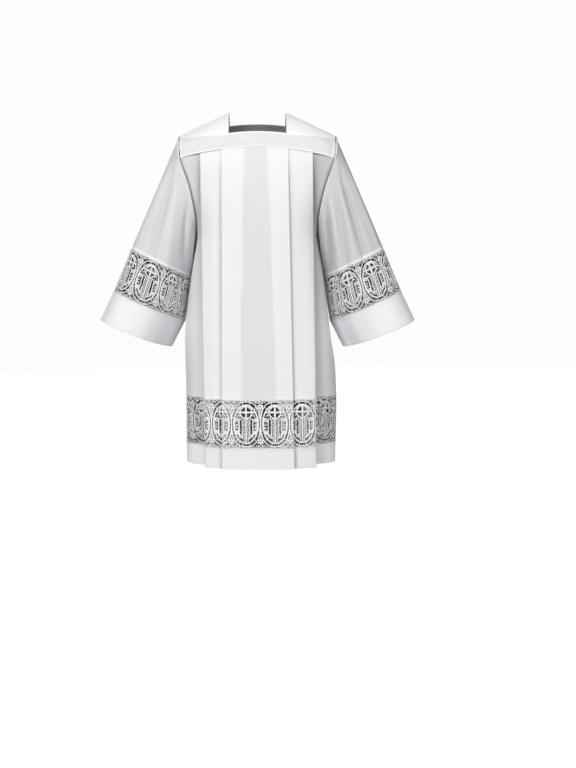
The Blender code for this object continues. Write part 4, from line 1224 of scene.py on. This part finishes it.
def armhole_ring(side, arounds):
    """Where a sleeve starts, against the armhole's edge, at shares of the way round it."""
    found = np.zeros((len(arounds), 3))
    for facing in (-1, +1):
        edge = armhole_edge(side, facing)
        along = run_along(edge)
        chosen = arounds <= 0.5 if facing < 0 else arounds > 0.5
        share = 2 * arounds[chosen] if facing < 0 else 2 * (1 - arounds[chosen])
        found[chosen] = at_lengths(share * along[-1], along, edge)
    found[:, 0] += side * mix(*ARMHOLE_GAP, ease(found[:, 2], *LOWER_GAP))
    return found


def sleeve_ring(ring, side, arounds):
    """A sleeve's ring below the armhole, at shares of the way round it."""
    across, deep = (squared(wave(2 * np.pi * arounds), RING_ROUNDNESS) for wave in (np.cos, np.sin))
    inward = (1 - across) / 2
    x, z = mix(ring.outer_x, ring.inner_x, inward), mix(ring.outer_z, ring.inner_z, inward)
    y = SET_BACK * inward**3 - deep * np.where(deep > 0, ring.front, ring.back)
    return np.column_stack([side * x, y, z])


def sleeve_rings(side, arounds):
    """The rings at the armhole, at the lace's edges and at the cuff's edge."""
    below = [sleeve_ring(ring, side, arounds) for ring in SLEEVE_RINGS]
    return np.stack([armhole_ring(side, arounds), *below])


def fold_heights(side_name, down, arounds):
    """How far a sleeve's soft folds stand out."""
    height = np.zeros(down.shape)
    for fold in SLEEVE_FOLDS[side_name]:
        near = (arounds[None, :] - mix(fold.top, fold.low, np.clip(down, 0, 1)) + 0.5) % 1 - 0.5
        reach = ease(down, 0.0, 0.45) * (1 - (1 - fold.at_cuff) * ease(down, 0.75, 1.7))
        height += fold.height * reach * bell(near, fold.width)
    return height


def sleeve_surface(side_name, side, down, arounds):
    """Points of a sleeve: down is an array of rows and columns, 0 at the armhole, 1 and 2 at the lace's edges
    and 3 at the cuff's edge."""
    stack = sleeve_rings(side, arounds)
    k = np.clip(down.astype(int), 0, 2)
    share = (down - k)[..., None]
    columns = np.broadcast_to(np.arange(len(arounds)), down.shape)
    points = mix(stack[k, columns], stack[k + 1, columns], share)
    away = stack[1] - stack[1].mean(axis=0)
    away /= np.linalg.norm(away, axis=1, keepdims=True)
    return points + away[None] * fold_heights(side_name, down, arounds)[..., None]


for side_name, side in SIDES.items():
    # Columns run so that the sheet's normals point out of the tube.
    arounds = np.arange(SLEEVE_COLUMNS)[::-side] / SLEEVE_COLUMNS
    rings = sleeve_rings(side, arounds)
    straight = np.linalg.norm(rings[0] - rings[1], axis=1)
    edge = np.array(EDGE_ROWS)[:, None]
    near_lace = straight - edge[::-1]
    near_welt = np.repeat(np.array(WELT_ROWS)[:, None], len(arounds), axis=1)
    run = np.vstack([near_welt, line(near_welt[-1], near_lace[0], SLEEVE_STEPS - 2), near_lace])
    points = sleeve_surface(side_name, side, run / straight * (1 - SLEEVE_GAP), arounds)
    under = ease(1 - 2 * np.abs(arounds - 0.5), *UNDERARM)
    welt = WELT_HEIGHT * (1 - under) * np.sin(np.pi * np.clip(run / WELT_WIDTH, 0, 1)) ** 2
    lift = welt + edge_lift(straight - run)
    points = points + outward(points, closed=True) * lift[..., None]
    # The sleeve's painted light and shade, with painted highlights on the turned edge and the welt and
    # painted shade along the armhole.
    tone = SLEEVE_TONES[side_name] + FOLD_TONE * fold_heights(side_name, run / straight, arounds)
    turned_edge = 1 - ease(straight - run, *TURNED_EDGE)
    on_top = 1 - ease(np.minimum(arounds, 1 - arounds), *ON_TOP)
    welt_top = ease(run, *WELT_RISES) * (1 - ease(run, *WELT_FALLS)) * (1 - 0.7 * under)
    tone = mix(tone, SLEEVE_EDGE_TONE, np.maximum(turned_edge, welt_top))
    tone *= 1 - ARMHOLE_SHADE * (1 - 0.7 * on_top) * (1 - ease(run / (0.0016 + 0.0030 * under), 0.0, 1.0))
    obj = grid_sheet(f"sleeve_{side_name}_cloth", points, SLEEVE_WALL, closed=True, tone=tone)
    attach(obj, "root")
    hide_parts("sleeve_" + side_name)
    seams["armhole_" + side_name] = on_surface(points, WELT_STITCHES, SLEEVE_WALL, closed=True)
    seams["sleeve_foot_" + side_name] = on_surface(points, FOOT_STITCHES, SLEEVE_WALL, closed=True)
    width = row_lengths(points, closed=True)
    flat, area = (width.max(), straight.max()), width.mean() * straight.mean()

    # The lace of a sleeve goes round it without a break, with nine repeats.
    down = np.linspace(2 - SLEEVE_GAP, 1 + SLEEVE_GAP, BAND_ROWS)[:, None]
    table = sleeve_surface(side_name, side, np.repeat(down, len(arounds), axis=1), arounds)
    table = np.concatenate([table, table[:, :1]], axis=1)
    columns = run_along(table[len(table) // 2])
    length = columns[-1] / MM
    first = np.interp(MEDALLION_AT[side_name], arounds[::-side], columns[:-1][::-side]) / MM
    medallions = [first + k * length / SLEEVE_REPEATS for k in range(SLEEVE_REPEATS)]
    round_trip = bent_over(table, columns)

    def round_the_sleeve(flat):
        return round_trip(np.column_stack([flat[:, 0] % columns[-1], flat[:, 1:]]))

    stretch = length / SLEEVE_REPEATS / (2 * HALF_REPEAT)
    never = ((0.0, length), (0.0, 0.0))
    light = ((0.0, length), (SLEEVE_LACE_TONE, SLEEVE_LACE_TONE))
    turn = np.interp([middle * MM % columns[-1] for middle in medallions], columns[:-1], arounds)
    close = np.where(turn > 0.5, CLOSE_SLEEVE, 0)
    name = f"sleeve_lace_{side_name}_work"
    shape = (NO_LAPS, stretch, length, NO_FOLDS, round_the_sleeve)
    obj = lace_band(name, medallions, close, *shape, never, light, ends=False)
    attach(obj, "root")
    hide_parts(f"sleeve_lace_{side_name}_front", f"sleeve_lace_{side_name}_back")
    flat = (length * MM, 2 * HALF_HEIGHT * MM)

    # The cuff is a band of cloth folded double.
    heights = np.linalg.norm(rings[2] - rings[3], axis=1)
    below = mix(edge[-1], heights, np.linspace(0, 1, CUFF_STEPS)[1:, None])
    run = np.vstack([np.repeat(edge, len(arounds), axis=1), below])
    down = 2 + SLEEVE_GAP + (1 - SLEEVE_GAP) * run / heights
    points = sleeve_surface(side_name, side, down, arounds)
    points = points + outward(points, closed=True) * edge_lift(run)[..., None]
    name = f"cuff_{side_name}_cloth"
    obj = grid_sheet(name, points, CUFF_WALL, closed=True, tone=CUFF_TONE, bevel=CUFF_BEVEL)
    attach(obj, "root")
    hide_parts("cuff_" + side_name)
    seams["cuff_" + side_name] = on_surface(points, TOP_STITCHES, CUFF_WALL, closed=True)
    flat = (row_lengths(points, closed=True).max(), heights.max())

# Stitching: white cotton, in short raised stitches close beside every seam, through the turned edges.
STITCH_PITCH, STITCH_LENGTH, STITCH_WIDTH = 0.0031, 0.0023, 0.00045
bpy.ops.object.select_all(action="DESELECT")
bpy.ops.mesh.primitive_ico_sphere_add(subdivisions=1, radius=0.5)
one_stitch = bpy.context.object
one_stitch.name = "one_stitch"
stitch_points = np.array([vertex.co for vertex in one_stitch.data.vertices])
stitch_faces = np.array([polygon.vertices for polygon in one_stitch.data.polygons])
bpy.ops.object.delete()
stitch_cotton = paint(
    "stitch_cotton", {"Base Color": (0.90, 0.90, 0.90, 1), "Roughness": 0.6, "Specular IOR Level": 0.35}
)

for seam_name, (path, normals) in seams.items():
    if seam_name.split("_")[0] in ("armhole", "cuff", "sleeve"):
        path, normals = np.vstack([path, path[:1]]), np.vstack([normals, normals[:1]])
    if seam_name.startswith("neckline"):
        kept = np.abs(path[:, 0]) <= NECK_HALF_WIDTH
        path, normals = path[kept], normals[kept]
    along = run_along(path)
    places = np.arange(STITCH_PITCH / 2, along[-1] - STITCH_PITCH / 2, STITCH_PITCH)
    middle, out = at_lengths(places, along, path), at_lengths(places, along, normals)
    ends = (at_lengths(places + way * STITCH_LENGTH / 2, along, path) for way in (1, -1))
    ahead = np.subtract(*ends)
    ahead /= np.linalg.norm(ahead, axis=1, keepdims=True)
    out /= np.linalg.norm(out, axis=1, keepdims=True)
    beside = np.cross(out, ahead)
    frame_of = np.stack([ahead * STITCH_LENGTH, beside * STITCH_WIDTH, out * STITCH_WIDTH], axis=1)
    points = np.einsum("pk,skj->spj", stitch_points, frame_of) + middle[:, None]
    faces = stitch_faces[None] + (np.arange(len(places)) * len(stitch_points))[:, None, None]
    mesh = bpy.data.meshes.new("stitches_" + seam_name)
    mesh.from_pydata(points.reshape(-1, 3).tolist(), [], faces.reshape(-1, 3).tolist())
    mesh.polygons.foreach_set("use_smooth", np.ones(len(mesh.polygons), bool))
    obj = add_object(mesh, stitch_cotton)
    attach(obj, "root")

# The size of the finished garment.
low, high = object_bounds()
